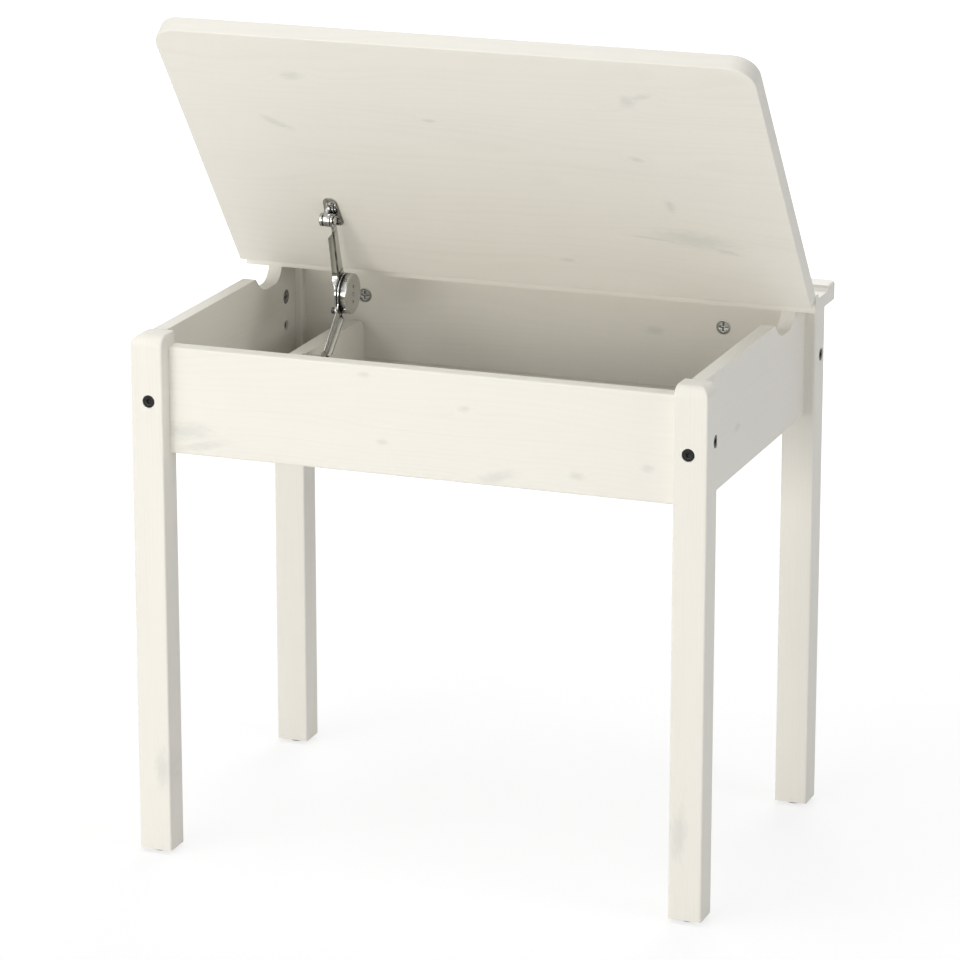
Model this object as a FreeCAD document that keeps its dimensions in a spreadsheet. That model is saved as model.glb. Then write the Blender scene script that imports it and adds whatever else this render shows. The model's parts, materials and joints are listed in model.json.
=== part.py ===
import FreeCAD, Part
import os
import re
import Sketcher

# A child's wooden desk: four posts, four panels round a shallow compartment, a pen rail along the back
# and a lid that is hinged to the rail and held up by a folding friction stay.
# Millimetres, +Z up, X to the right, the front faces -Y, the floor is at zero.
# The desk is modelled with its lid open. What rides on the lid is drawn with the lid closed, from the
# hinge axis, and then turned up about that axis.

SIZES = [
    ("legs_width", 578, "across the outer faces of the legs"),
    ("legs_depth", 378, "from the legs' front faces to their back faces"),
    ("leg_width", 33, "leg section along X"),
    ("leg_depth", 31, "leg section along Y"),
    ("leg_top", 524, "height of the legs' tops"),
    ("leg_round", 11, "rounding of a front leg's top"),
    ("leg_ease", 2, "rounding of a leg's upright arrises"),
    ("glide_height", 4, "glide under a leg"),
    ("glide_radius", 8.5, "glide radius"),
    ("glide_edge", 1.2, "bevel under a glide"),
    ("glide_nail_radius", 2, "glide nail radius"),
    ("glide_nail_length", 14, "glide nail length in the leg"),
    ("front_thickness", 18, "front panel thickness"),
    ("front_drop", 13, "front panel's top edge below the legs' tops"),
    ("front_hang", 2, "front panel's lower edge below the other panels'"),
    ("front_recess", 16, "front panel behind the legs' front faces"),
    ("panel_ease", 2, "rounding of a panel's arrises"),
    ("side_thickness", 14, "side panel thickness"),
    ("side_recess", 11.5, "side panel inside the legs' outer faces"),
    ("side_height", 116, "side and back panels below the legs' tops"),
    ("ear_length", 34, "side panel under the rail, behind the finger notch"),
    ("notch_length", 66.5, "finger notch along the top edge"),
    ("notch_depth", 16, "finger notch depth"),
    ("notch_slope", 16, "run of the sloping front end of the notch"),
    ("notch_lean", 5, "run of the leaning rear end of the notch"),
    ("notch_sweep", 36, "rounding at the front of the notch"),
    ("notch_round", 20, "rounding at the rear of the notch"),
    ("notch_edge", 0.5, "slope left above the notch's roundings"),
    ("back_thickness", 18, "back panel thickness"),
    ("back_recess", 2.5, "back panel inside the legs' back faces"),
    ("bottom_thickness", 4, "bottom board thickness"),
    ("bottom_lift", 11, "underside of the bottom board above the panels' lower edges"),
    ("groove_depth", 6, "groove that holds the bottom board"),
    ("groove_gap", 0.2, "room for the bottom board in its grooves and between the legs"),
    ("tray_width", 55.5, "narrow compartment left of the divider"),
    ("divider_thickness", 16, "divider thickness"),
    ("divider_height", 42, "divider above the bottom board"),
    ("divider_round", 15, "rounding of the divider's rear top corner"),
    ("top_overhang", 11, "lid and rail beyond the legs at each end"),
    ("rail_width", 70.5, "pen rail along Y"),
    ("rail_thickness", 18, "pen rail thickness"),
    ("rail_round", 7, "rail's rear corners seen from above"),
    ("rail_ease", 3, "rounding of the rail's long arrises"),
    ("pen_lip", 27.5, "rail behind the pen groove"),
    ("pen_width", 35, "pen groove width"),
    ("pen_depth", 4.8, "pen groove depth"),
    ("pen_round", 4, "rounding in the pen groove"),
    ("pen_edge", 0.4, "upright left above the pen groove's rounding"),
    ("front_overhang", 36.9, "closed lid beyond the legs' front faces"),
    ("lid_thickness", 18, "lid thickness"),
    ("lid_round", 24, "lid's front corners seen from above"),
    ("lid_ease", 1.2, "rounding of the lid's arrises"),
    ("lid_lift", 0.3, "closed lid above the legs"),
    ("open_angle", 52.5, "open lid above the horizontal"),
    ("hinge_inset", 100, "hinge's middle from the lid's end"),
    ("hinge_drop", 0.5, "hinge axis below the rail's top"),
    ("hinge_length", 25, "hinge along X"),
    ("leaf_height", 13, "hinge leaf below the axis"),
    ("leaf_thickness", 1, "hinge leaf thickness"),
    ("leaf_room", 0.2, "hinge leaf from the middle of its gap"),
    ("knuckle_radius", 1.8, "hinge knuckle radius"),
    ("knuckle_length", 8.8, "middle knuckle along X"),
    ("knuckle_gap", 0.3, "room round a knuckle"),
    ("hinge_pin_radius", 0.9, "hinge pin radius"),
    ("pin_fit", 0.05, "radial room of a pin in its bore"),
    ("leaf_screw_spacing", 15, "between a leaf's two screws"),
    ("leaf_screw_drop", 8.5, "leaf screws below the axis"),
    ("leaf_screw_head", 2.4, "leaf screw head radius"),
    ("leaf_screw_radius", 1.2, "leaf screw shank radius"),
    ("leaf_screw_length", 12, "leaf screw length in the wood"),
    ("drill_gap", 0.1, "radial room of a fastener in its hole"),
    ("bolt_radius", 3, "bolt shank radius"),
    ("bolt_head_radius", 6, "bolt head radius"),
    ("bolt_head_height", 4, "bolt head height"),
    ("bolt_sink", 0.5, "bolt head below the leg's face"),
    ("bolt_bore_gap", 0.3, "radial room round a bolt"),
    ("socket_radius", 2.4, "corner radius of a bolt's hexagon socket"),
    ("socket_depth", 2.4, "depth of a bolt's hexagon socket"),
    ("bolt_raise", 3.5, "side panels' bolts above the middle between the bottom board and the cam locks"),
    ("bolt_step", 8.5, "front and back panels' bolts above the side panels'"),
    ("nut_inset", 24, "barrel nut from the panel's end"),
    ("nut_radius", 5, "barrel nut radius"),
    ("nut_length", 9, "barrel nut length"),
    ("bolt_past_nut", 8, "bolt beyond the middle of its nut"),
    ("dowel_radius", 4, "wooden dowel radius"),
    ("dowel_reach", 17, "dowel in each of the pieces that it joins"),
    ("dowel_bottom", 0.5, "room beyond a dowel's end"),
    ("dowel_raise", 13, "side panels' dowels above the bottom board"),
    ("dowel_step", 14, "front and back panels' dowels above their bolts"),
    ("cam_radius", 7.4, "cam lock radius"),
    ("cam_depth", 11, "cam lock depth"),
    ("cam_drop", 35, "cam locks below the rail"),
    ("cam_inset", 65, "back panel's cam locks from its ends"),
    ("cam_ear", 23.5, "side panel's cam lock from the rear leg"),
    ("cross_length", 9, "cross recess of a cam lock"),
    ("cross_width", 1.6, "width of a cross recess's arms"),
    ("cross_depth", 1.5, "depth of a cross recess"),
    ("cam_pin_radius", 3, "cam dowel radius"),
    ("cam_pin_reach", 8, "cam dowel in the rail"),
    ("arm_length", 82, "stay arm from pivot to pivot"),
    ("plate", 2, "stay upper arm, thickness of its plate"),
    ("lower_plate", 1.7, "stay lower arm, thickness of its plate"),
    ("disc_radius", 20.5, "stay elbow disc radius"),
    ("disc_fillet", 9, "rounding where an arm meets its disc"),
    ("arm_neck", 8, "stay arm width at its pivot"),
    ("arm_shoulder", 13, "stay arm width at its disc"),
    ("eye_room", 1.2, "upper arm's eye from the lid bracket's plate"),
    ("lower_eye", 9, "eye radius of the lower arm"),
    ("upper_flange", 5, "upper arm's flange to the left"),
    ("lower_flange", 4.5, "lower arm's flange to the right"),
    ("flange_start", 12, "upper arm's flange from its pivot"),
    ("flange_overlap", 8, "upper arm's flange on its elbow disc"),
    ("lower_flange_start", 6, "lower arm's flange from its pivot"),
    ("flange_room", 0.5, "lower arm's flange from its elbow disc"),
    ("flange_taper", 7, "run of a flange's sloping ends"),
    ("stop_radius", 3.2, "stop stud radius"),
    ("stop_length", 4.5, "stop stud length"),
    ("stop_reach", 20.9, "stop stud from the elbow"),
    ("stop_turn", 119, "stop stud from the upper arm, round the elbow"),
    ("stop_lug", 5.2, "lug radius round the stop stud"),
    ("washer_radius", 17, "friction washer radius"),
    ("washer_thickness", 0.8, "friction washer thickness"),
    ("spacer_thickness", 1.7, "spacer between the lower arm and the housing"),
    ("housing_height", 6, "friction housing height"),
    ("housing_bevel", 1.4, "bevel of the housing's rim"),
    ("housing_cap", 2, "thickness of the housing's closed face"),
    ("mark_radius", 1.2, "middle dimple of the housing's face"),
    ("dimple_radius", 0.9, "outer dimples of the housing's face"),
    ("dimple_reach", 7.7, "outer dimples from the middle"),
    ("dimple_depth", 1.4, "depth of the dimples"),
    ("rivet_radius", 4, "elbow rivet radius"),
    ("side_gap", 0.3, "room between stay pieces that slide past each other"),
    ("pivot_radius", 3, "stay pivot pin radius"),
    ("pivot_head_radius", 4.5, "stay pivot pin head radius"),
    ("pivot_head", 1.6, "stay pivot pin head height"),
    ("stay_fold", 31.77, "open stay's arms from the line between their outer pivots, in degrees"),
    ("stay_below", 9.7, "stay's lid pivot below the lid"),
    ("foot_ahead", 112.8, "stay's foot pivot in front of the hinge axis"),
    ("foot_drop", 4, "stay's foot pivot below the divider's top"),
    ("foot_standoff", 20.9, "lower arm from the divider's face"),
    ("foot_length", 40, "foot bracket plate along Y"),
    ("foot_height", 26, "foot bracket plate along Z"),
    ("foot_edge", 2, "foot bracket plate below the divider's top"),
    ("foot_corner", 5, "foot bracket plate corner radius"),
    ("base_plate", 2, "thickness of the brackets' plates"),
    ("boss_radius", 6.2, "radius of the foot bracket's boss"),
    ("barrel_radius", 6.7, "lid bracket's barrel radius"),
    ("barrel_length", 11.5, "lid bracket's barrel along X"),
    ("collar_length", 3.2, "collar at the barrel's left end"),
    ("neck_length", 1, "groove beside the collar, along X"),
    ("neck_depth", 0.7, "depth of the groove beside the collar"),
    ("cheek_inset", 3, "lid bracket's cheek inside the barrel's ends"),
    ("bracket_width", 14, "lid bracket plate along X, at its front end"),
    ("bracket_flare", 6, "how much wider to the left the lid bracket plate is at its rear end"),
    ("bracket_length", 40, "lid bracket plate along Y"),
    ("bracket_ahead", 2.5, "lid bracket plate's middle in front of the pivot"),
    ("bracket_corner", 6.5, "corner radius of the lid bracket's plate"),
    ("bracket_flat", 0.1, "half of the flat left between the plate's front corners"),
    ("bracket_side", 0.8, "lid bracket plate's middle left of the upper arm"),
    ("lid_screw_front", 13.6, "lid bracket's front screw in front of the pivot"),
    ("lid_screw_rear", 11, "lid bracket's rear screw behind the pivot"),
    ("lid_screw_side", 2, "lid bracket's rear screw right of its front one"),
    ("screw_spacing", 25, "between the foot bracket's screws"),
    ("screw_drop", 16, "foot bracket screws below the plate's top"),
    ("screw_radius", 1.8, "bracket screw shank radius"),
    ("screw_head_radius", 4, "bracket screw head radius"),
    ("screw_head", 2.4, "bracket screw head height"),
    ("screw_head_round", 1.4, "crown of a bracket screw's head"),
    ("screw_length", 12, "bracket screw in the wood"),
]

# Places that follow from the sizes, with the same names in every piece that meets there.
PLACES = {
    "outer_x": "legs_width / 2",
    "outer_y": "legs_depth / 2",
    "leg_x": "outer_x - leg_width / 2",
    "leg_y": "outer_y - leg_depth / 2",
    "inner_x": "outer_x - leg_width",
    "inner_y": "outer_y - leg_depth",
    "side_out": "outer_x - side_recess",
    "side_in": "side_out - side_thickness",
    "side_mid": "side_in + side_thickness / 2",
    "front_face": "front_recess - outer_y",
    "front_in": "front_face + front_thickness",
    "front_mid": "front_face + front_thickness / 2",
    "back_face": "outer_y - back_recess",
    "back_in": "back_face - back_thickness",
    "back_mid": "back_in + back_thickness / 2",
    "front_top": "leg_top - front_drop",
    "side_bottom": "leg_top - side_height",
    "front_bottom": "side_bottom - front_hang",
    "bottom_height": "side_bottom + bottom_lift",
    "bottom_top": "bottom_height + bottom_thickness",
    "divider_top": "bottom_top + divider_height",
    "notch_back": "inner_y - ear_length",
    "notch_ramp": "sqrt(notch_depth ^ 2 + notch_slope ^ 2)",
    "notch_wall": "sqrt(notch_depth ^ 2 + notch_lean ^ 2)",
    "front_curve": "min(notch_sweep; (notch_ramp - notch_edge) * notch_depth / (notch_ramp - notch_slope))",
    "rear_curve": "min(notch_round; (notch_wall - notch_edge) * notch_depth / (notch_wall - notch_lean))",
    "divider_left": "tray_width - side_in",
    "divider_face": "divider_left + divider_thickness",
    "rail_front": "outer_y - rail_width",
    "rail_top": "leg_top + rail_thickness",
    "pen_back": "outer_y - pen_lip",
    "pen_front": "pen_back - pen_width",
    "pen_curve": "min(pen_round; pen_depth - pen_edge)",
    "top_length": "legs_width + 2 * top_overhang",
    "lid_gap": "2 * (leaf_thickness + leaf_room)",
    "lid_depth": "legs_depth - rail_width - lid_gap + front_overhang",
    "hinge_x": "top_length / 2 - hinge_inset",
    "hinge_y": "rail_front - lid_gap / 2",
    "hinge_z": "rail_top - hinge_drop",
    "lid_under": "rail_thickness - hinge_drop - lid_lift",
    "lid_rear": "lid_gap / 2",
    "cam_z": "leg_top - cam_drop",
    "cam_y": "inner_y - cam_ear",
    "cam_x": "inner_x - cam_inset",
    "side_bolt_height": "(bottom_top + cam_z) / 2 + bolt_raise",
    "cross_bolt_height": "side_bolt_height + bolt_step",
    "side_dowel_height": "bottom_top + dowel_raise",
    "cross_dowel_height": "cross_bolt_height + dowel_step",
    "stay_drop": "lid_under + stay_below",
    "foot_y": "hinge_y - foot_ahead",
    "foot_z": "divider_top - foot_drop",
    "foot_run": "foot_ahead - stay_drop * sin(open_angle)",
    "foot_fall": "hinge_z - foot_z - stay_drop * cos(open_angle)",
    "foot_along": "foot_run * cos(open_angle) - foot_fall * sin(open_angle)",
    "foot_off": "foot_run * sin(open_angle) + foot_fall * cos(open_angle)",
    "stay_reach": "2 * arm_length * cos(stay_fold)",
    "stay_along": "foot_along + sqrt(stay_reach ^ 2 - foot_off ^ 2)",
    "pivot_y": "hinge_y - stay_along * cos(open_angle) - stay_drop * sin(open_angle)",
    "pivot_z": "hinge_z + stay_along * sin(open_angle) - stay_drop * cos(open_angle)",
    "stay_rise": "pivot_z - foot_z",
    "stay_run": "pivot_y - foot_y",
    "stay_lean": "atan2(stay_rise; stay_run)",
    "lower_lean": "stay_lean - stay_fold * 1 deg",
    "upper_lean": "180 deg - stay_lean - stay_fold * 1 deg",
    "elbow_y": "foot_y + arm_length * cos(lower_lean)",
    "elbow_z": "foot_z + arm_length * sin(lower_lean)",
    "upper_eye": "stay_below - base_plate - eye_room",
    "upper_flange_end": "arm_length - disc_radius + flange_overlap",
    "lower_flange_end": "arm_length - disc_radius - flange_room",
    "lower_x": "divider_face + foot_standoff",
    "washer_x": "lower_x - washer_thickness",
    "upper_x": "washer_x - side_gap - plate",
    "spacer_x": "lower_x + lower_plate",
    "housing_x": "spacer_x + spacer_thickness",
    "barrel_end": "upper_x - side_gap",
    "bracket_x": "upper_x - bracket_side",
    "bracket_curve": "min(bracket_corner; bracket_width / 2 - bracket_flat)",
    "bolt_floor": "bolt_sink + bolt_head_height",
}

LEFT = FreeCAD.Vector(-1, 0, 0)
RIGHT = FreeCAD.Vector(1, 0, 0)
FRONT = FreeCAD.Vector(0, -1, 0)
REAR = FreeCAD.Vector(0, 1, 0)
DOWN = FreeCAD.Vector(0, 0, -1)
UP = FreeCAD.Vector(0, 0, 1)
NEAR = 0.01

doc = FreeCAD.newDocument("KidsDesk")
sheet = doc.addObject("Spreadsheet::Sheet", "Sizes")
aliases = set()
for row, (alias, number, meaning) in enumerate(SIZES, 1):
    sheet.set(f"A{row}", meaning)
    sheet.set(f"B{row}", str(number))
    sheet.setAlias(f"B{row}", alias)
    aliases.add(alias)
doc.recompute()
pieces = []


def formula(text):
    """The text as an expression, with the named sizes and places written out as cells of the sheet."""
    def written(word):
        name = word.group(0)
        if name in PLACES:
            return "(" + formula(PLACES[name]) + ")"
        if name in aliases:
            return "Sizes." + name
        return name
    return re.sub(r"[a-z_]+", written, text)


def number(text):
    """The present value of an expression."""
    value = sheet.evalExpression(formula(text))
    return getattr(value, "Value", value)


def bind(thing, prop, text):
    """Ties a property to the sheet."""
    thing.setExpression(prop, formula(text))


def place(thing, x, y, z):
    """Ties a piece's position to the sheet."""
    bind(thing, "Placement.Base.x", x)
    bind(thing, "Placement.Base.y", y)
    bind(thing, "Placement.Base.z", z)


def turn(thing, axis, angle):
    """Turns a piece about an axis through its own origin, by an angle from the sheet."""
    thing.Placement.Rotation = FreeCAD.Rotation(axis, 1)
    bind(thing, "Placement.Rotation.Angle", angle)


def on_lid(thing):
    """Turns a piece that was drawn with the lid closed, from the hinge axis, up to the open lid."""
    turn(thing, LEFT, "open_angle * 1 deg")
    place(thing, "0", "hinge_y", "hinge_z")
    return thing


def keep(thing, label):
    """Names a finished sub-part."""
    thing.Label = label
    pieces.append(thing)
    return thing


def new_body(name):
    return doc.addObject("PartDesign::Body", name)


def new_sketch(body, plane, name, offset=None):
    """A sketch on one of the body's own planes, lifted off it along its normal where an offset is given."""
    sketch = body.newObject("Sketcher::SketchObject", name)
    support = next(item for item in body.Origin.OriginFeatures if item.Role == plane)
    sketch.AttachmentSupport = [(support, "")]
    sketch.MapMode = "FlatFace"
    if offset:
        bind(sketch, "AttachmentOffset.Base.z", offset)
    return sketch


def pin_point(sketch, item, spot, across, along):
    """Holds a point of the sketch at a place from the sheet."""
    for kind, text in (("DistanceX", across), ("DistanceY", along)):
        index = sketch.addConstraint(Sketcher.Constraint(kind, -1, 1, item, spot, number(text)))
        bind(sketch, f"Constraints[{index}]", text)


def outline(sketch, corners):
    """A closed outline of straight lines through the corners."""
    spots = [FreeCAD.Vector(number(across), number(along), 0) for across, along in corners]
    count = len(spots)
    for index in range(count):
        sketch.addGeometry(Part.LineSegment(spots[index], spots[(index + 1) % count]))
    for index in range(count):
        sketch.addConstraint(Sketcher.Constraint("Coincident", index, 2, (index + 1) % count, 1))
    for index, (across, along) in enumerate(corners):
        pin_point(sketch, index, 1, across, along)


def rectangle(sketch, left, low, right, high):
    outline(sketch, [(left, low), (right, low), (right, high), (left, high)])


def circle(sketch, across, along, radius):
    middle = FreeCAD.Vector(number(across), number(along), 0)
    item = sketch.addGeometry(Part.Circle(middle, UP, number(radius)))
    index = sketch.addConstraint(Sketcher.Constraint("Radius", item, number(radius)))
    bind(sketch, f"Constraints[{index}]", radius)
    pin_point(sketch, item, 3, across, along)


def pad(body, sketch, name, length, both_ways=False):
    feature = body.newObject("PartDesign::Pad", name)
    feature.Profile = sketch
    if both_ways:
        feature.SideType = "Symmetric"
    bind(feature, "Length", length)
    return feature


def pocket(body, sketch, name, length, reversed_way=False):
    """A pocket that has to take material away."""
    doc.recompute()
    before = body.Shape.Volume
    feature = body.newObject("PartDesign::Pocket", name)
    feature.Profile = sketch
    feature.Reversed = reversed_way
    bind(feature, "Length", length)
    doc.recompute()
    if body.Shape.Volume > before - NEAR:
        raise RuntimeError(f"{name} cuts nothing")
    return feature


def middle_of(edge):
    return edge.valueAt((edge.FirstParameter + edge.LastParameter) / 2)


def runs_along(edge, axis):
    """Whether a straight edge is parallel to an axis."""
    if not isinstance(edge.Curve, (Part.Line, Part.LineSegment)):
        return False
    first, last = edge.Vertexes[0].Point, edge.Vertexes[-1].Point
    return abs(abs((last - first).normalize().dot(axis)) - 1) < NEAR


def close(value, text):
    return abs(value - number(text)) < NEAR


def round_edges(body, name, radius, wanted):
    """Rounds the edges of the body so far that are wanted."""
    doc.recompute()
    base = body.Tip
    edges = [f"Edge{index}" for index, edge in enumerate(base.Shape.Edges, 1) if wanted(edge)]
    if not edges:
        raise RuntimeError(f"{name} finds no edge")
    feature = body.newObject("PartDesign::Fillet", name)
    feature.Base = (base, edges)
    bind(feature, "Radius", radius)
    return feature


def rod(name, radius, length, spot, way):
    """A cylinder that starts at a spot and runs one way."""
    thing = doc.addObject("Part::Cylinder", name)
    bind(thing, "Radius", radius)
    bind(thing, "Height", length)
    thing.Placement.Rotation = FreeCAD.Rotation(UP, way)
    place(thing, *spot)
    return thing


def cone(name, first, last, length, spot, way):
    """A cone from one radius to another that starts at a spot and runs one way."""
    thing = doc.addObject("Part::Cone", name)
    bind(thing, "Radius1", first)
    bind(thing, "Radius2", last)
    bind(thing, "Height", length)
    thing.Placement.Rotation = FreeCAD.Rotation(UP, way)
    place(thing, *spot)
    return thing


def block(name, size, spot):
    """A box from its lowest corner."""
    thing = doc.addObject("Part::Box", name)
    for prop, text in zip(("Length", "Width", "Height"), size):
        bind(thing, prop, text)
    place(thing, *spot)
    return thing


def group(name, things):
    thing = doc.addObject("Part::Compound", name)
    thing.Links = things
    return thing


def fuse(name, things):
    thing = doc.addObject("Part::MultiFuse", name)
    thing.Shapes = things
    return thing


def cut(name, base, tools):
    """The base without the tools."""
    thing = doc.addObject("Part::Cut", name)
    thing.Base = base
    thing.Tool = tools[0] if len(tools) == 1 else fuse(name + "_tools", tools)
    return thing


def moved(spot, way, text):
    """A spot moved one way by a length."""
    return [f"{base} + {axis} * ({text})" for base, axis in zip(spot, (int(way.x), int(way.y), int(way.z)))]


CORNERS = [
    ("front_left", -1, -1),
    ("front_right", 1, -1),
    ("rear_left", -1, 1),
    ("rear_right", 1, 1),
]

# Bolts, barrel nuts and dowels. At each leg one bolt runs along Y into a side panel and one along X
# into the front or back panel. Each fastener has its drill, which is cut from all that it goes through.
side_bolts = []
cross_bolts = []
nuts = []
dowels = []
drills = []


def bolt(name, face, way, through):
    """A socket-head bolt from a leg's face, through the leg and its barrel nut."""
    reach = f"{through} - bolt_sink + nut_inset + bolt_past_nut"
    start = moved(face, way, "bolt_sink")
    head = rod(name + "_head", "bolt_head_radius", "bolt_head_height", start, way)
    shank = rod(name + "_shank", "bolt_radius", reach, start, way)
    socket = doc.addObject("Part::Prism", name + "_socket")
    socket.Polygon = 6
    bind(socket, "Circumradius", "socket_radius")
    bind(socket, "Height", "socket_depth")
    socket.Placement.Rotation = FreeCAD.Rotation(UP, way)
    place(socket, *start)
    sunk = rod(name + "_sunk", "bolt_head_radius + bolt_bore_gap", "bolt_floor", face, way)
    bore = rod(name + "_bore", "bolt_radius + bolt_bore_gap", f"bolt_sink + {reach}", face, way)
    drills.extend((sunk, bore))
    return cut(name, fuse(name + "_blank", [head, shank]), [socket])


def barrel_nut(name, spot, way, inward, depth):
    """A cross dowel about the middle of its bolt, at the end of a hole that comes in from a panel's face."""
    bore_start = moved(spot, way, "-2 * nut_radius")
    body = rod(name + "_body", "nut_radius", "nut_length", moved(spot, inward, "-nut_length / 2"), inward)
    bore = rod(name + "_thread", "bolt_radius + bolt_bore_gap", "4 * nut_radius", bore_start, way)
    drills.append(rod(name + "_drill", "nut_radius + drill_gap", f"{depth} + nut_length / 2",
                      moved(spot, inward, f"-({depth})"), inward))
    return cut(name, body, [bore])


def dowel(name, spot, way):
    """A dowel half in a leg and half in a panel, whose meeting face the spot is on."""
    start = moved(spot, way, "-dowel_reach")
    drill_start = moved(spot, way, "-dowel_reach - dowel_bottom")
    length = "2 * dowel_reach"
    drills.append(rod(name + "_drill", "dowel_radius + drill_gap", length + " + 2 * dowel_bottom", drill_start, way))
    return rod(name, "dowel_radius", length, start, way)


for corner, sx, sy in CORNERS:
    inward_x = LEFT if sx > 0 else RIGHT
    inward_y = FRONT if sy > 0 else REAR
    panel_y = "back_mid" if sy > 0 else "front_mid"
    face = [f"{sx} * side_mid", f"{sy} * outer_y", "side_bolt_height"]
    side_bolts.append(bolt(corner + "_side_bolt", face, inward_y, "leg_depth"))
    spot = [f"{sx} * side_mid", f"{sy} * (inner_y - nut_inset)", "side_bolt_height"]
    # the side panels' nuts go in from inside the compartment
    outward_x = RIGHT if sx > 0 else LEFT
    nuts.append(barrel_nut(corner + "_side_nut", spot, inward_y, outward_x, "side_thickness / 2"))
    spot = [f"{sx} * side_mid", f"{sy} * inner_y", "side_dowel_height"]
    dowels.append(dowel(corner + "_side_dowel", spot, inward_y))

    face = [f"{sx} * outer_x", panel_y, "cross_bolt_height"]
    cross_bolts.append(bolt(corner + "_cross_bolt", face, inward_x, "leg_width"))
    spot = [f"{sx} * (inner_x - nut_inset)", panel_y, "cross_bolt_height"]
    # the front panel's nuts go in from inside, the back panel's from behind
    depth = "back_thickness / 2" if sy > 0 else "front_thickness / 2"
    nuts.append(barrel_nut(corner + "_cross_nut", spot, inward_x, FRONT, depth))
    spot = [f"{sx} * inner_x", panel_y, "cross_dowel_height"]
    dowels.append(dowel(corner + "_cross_dowel", spot, inward_x))

# Cam locks in the panels' inner faces pull the rail down by dowels that stand in its underside.
cams = []
cam_pins = []
cam_drills = []
CAM_SPOTS = [
    ("left_ear", ["-side_in", "cam_y", "cam_z"], LEFT, ["-side_mid", "cam_y", "leg_top"]),
    ("right_ear", ["side_in", "cam_y", "cam_z"], RIGHT, ["side_mid", "cam_y", "leg_top"]),
    ("left_back", ["-cam_x", "back_in", "cam_z"], REAR, ["-cam_x", "back_mid", "leg_top"]),
    ("right_back", ["cam_x", "back_in", "cam_z"], REAR, ["cam_x", "back_mid", "leg_top"]),
]
for name, spot, way, top in CAM_SPOTS:
    drum = rod(name + "_drum", "cam_radius", "cam_depth", spot, way)
    arms = []
    # the cross recess: two slots through the face, one upright and one level
    for arm, tall, wide in (("upright", "cross_length", "cross_width"), ("level", "cross_width", "cross_length")):
        deep_x, deep_y = ("cross_depth", wide) if way.x else (wide, "cross_depth")
        left_x = {1: spot[0], 0: f"{spot[0]} - {wide} / 2", -1: f"{spot[0]} - cross_depth"}[int(way.x)]
        low_y = spot[1] if way.y else f"{spot[1]} - {wide} / 2"
        arms.append(block(f"{name}_{arm}", [deep_x, deep_y, tall], [left_x, low_y, f"{spot[2]} - {tall} / 2"]))
    cams.append(cut(name + "_cam", drum, arms))
    cam_drills.append(rod(name + "_cam_hole", "cam_radius + drill_gap", "cam_depth", spot, way))
    pin_length = "cam_drop - cam_radius - drill_gap + cam_pin_reach"
    pin_top = moved(top, UP, "cam_pin_reach")
    cam_pins.append(rod(name + "_cam_pin", "cam_pin_radius", pin_length, pin_top, DOWN))
    # the dowel's hole opens into the middle of the cam's
    hole_length = "cam_drop + cam_pin_reach"
    cam_drills.append(rod(name + "_pin_hole", "cam_pin_radius + drill_gap", hole_length, pin_top, DOWN))
drills.extend(cam_drills)

# Legs: square posts with eased arrises. The front ones are rounded over at the top, to the front and
# to the outside; the rail covers the tops of the rear ones. Each stands on a nailed-in glide.
for corner, sx, sy in CORNERS:
    post = new_body(corner + "_post")
    section = new_sketch(post, "XY_Plane", corner + "_section")
    rectangle(section, "-leg_width / 2", "-leg_depth / 2", "leg_width / 2", "leg_depth / 2")
    pad(post, section, corner + "_height", "leg_top - glide_height")
    if sy < 0:
        def rounded_top(edge):
            spot = middle_of(edge)
            on_top = close(spot.z, "leg_top - glide_height")
            return on_top and (close(spot.y, "-leg_depth / 2") or close(spot.x, f"{sx} * leg_width / 2"))
        round_edges(post, corner + "_top", "leg_round", rounded_top)
    round_edges(post, corner + "_arrises", "leg_ease", lambda edge: runs_along(edge, UP))
    place(post, f"{sx} * leg_x", f"{sy} * leg_y", "glide_height")
    foot = [f"{sx} * leg_x", f"{sy} * leg_y", "glide_height"]
    nail_hole = rod(corner + "_nail_hole", "glide_nail_radius + drill_gap", "glide_nail_length", foot, UP)
    own = [item for item in drills if item.Name.startswith(corner)]
    keep(cut(corner + "_leg_drilled", post, own + [nail_hole]), corner + "_leg")

    glide = new_body(corner + "_glide_body")
    half = new_sketch(glide, "XZ_Plane", corner + "_glide_profile")
    outline(half, [("0", "0"), ("glide_radius - glide_edge", "0"), ("glide_radius", "glide_edge"),
                   ("glide_radius", "glide_height"),
                   ("glide_nail_radius", "glide_height"),
                   ("glide_nail_radius", "glide_height + glide_nail_length"),
                   ("0", "glide_height + glide_nail_length")])
    spin = glide.newObject("PartDesign::Revolution", corner + "_glide_turned")
    spin.Profile = half
    spin.ReferenceAxis = (half, ["V_Axis"])
    spin.Angle = 360
    place(glide, f"{sx} * leg_x", f"{sy} * leg_y", "0")
    keep(glide, corner + "_glide")


def with_groove(body, plane, name, near, far, way):
    """Cuts the bottom board's groove along a panel that is drawn end on."""
    groove = new_sketch(body, plane, name, way)
    rectangle(groove, near, "bottom_height - groove_gap / 2", far, "bottom_top + groove_gap / 2")
    return groove


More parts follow.
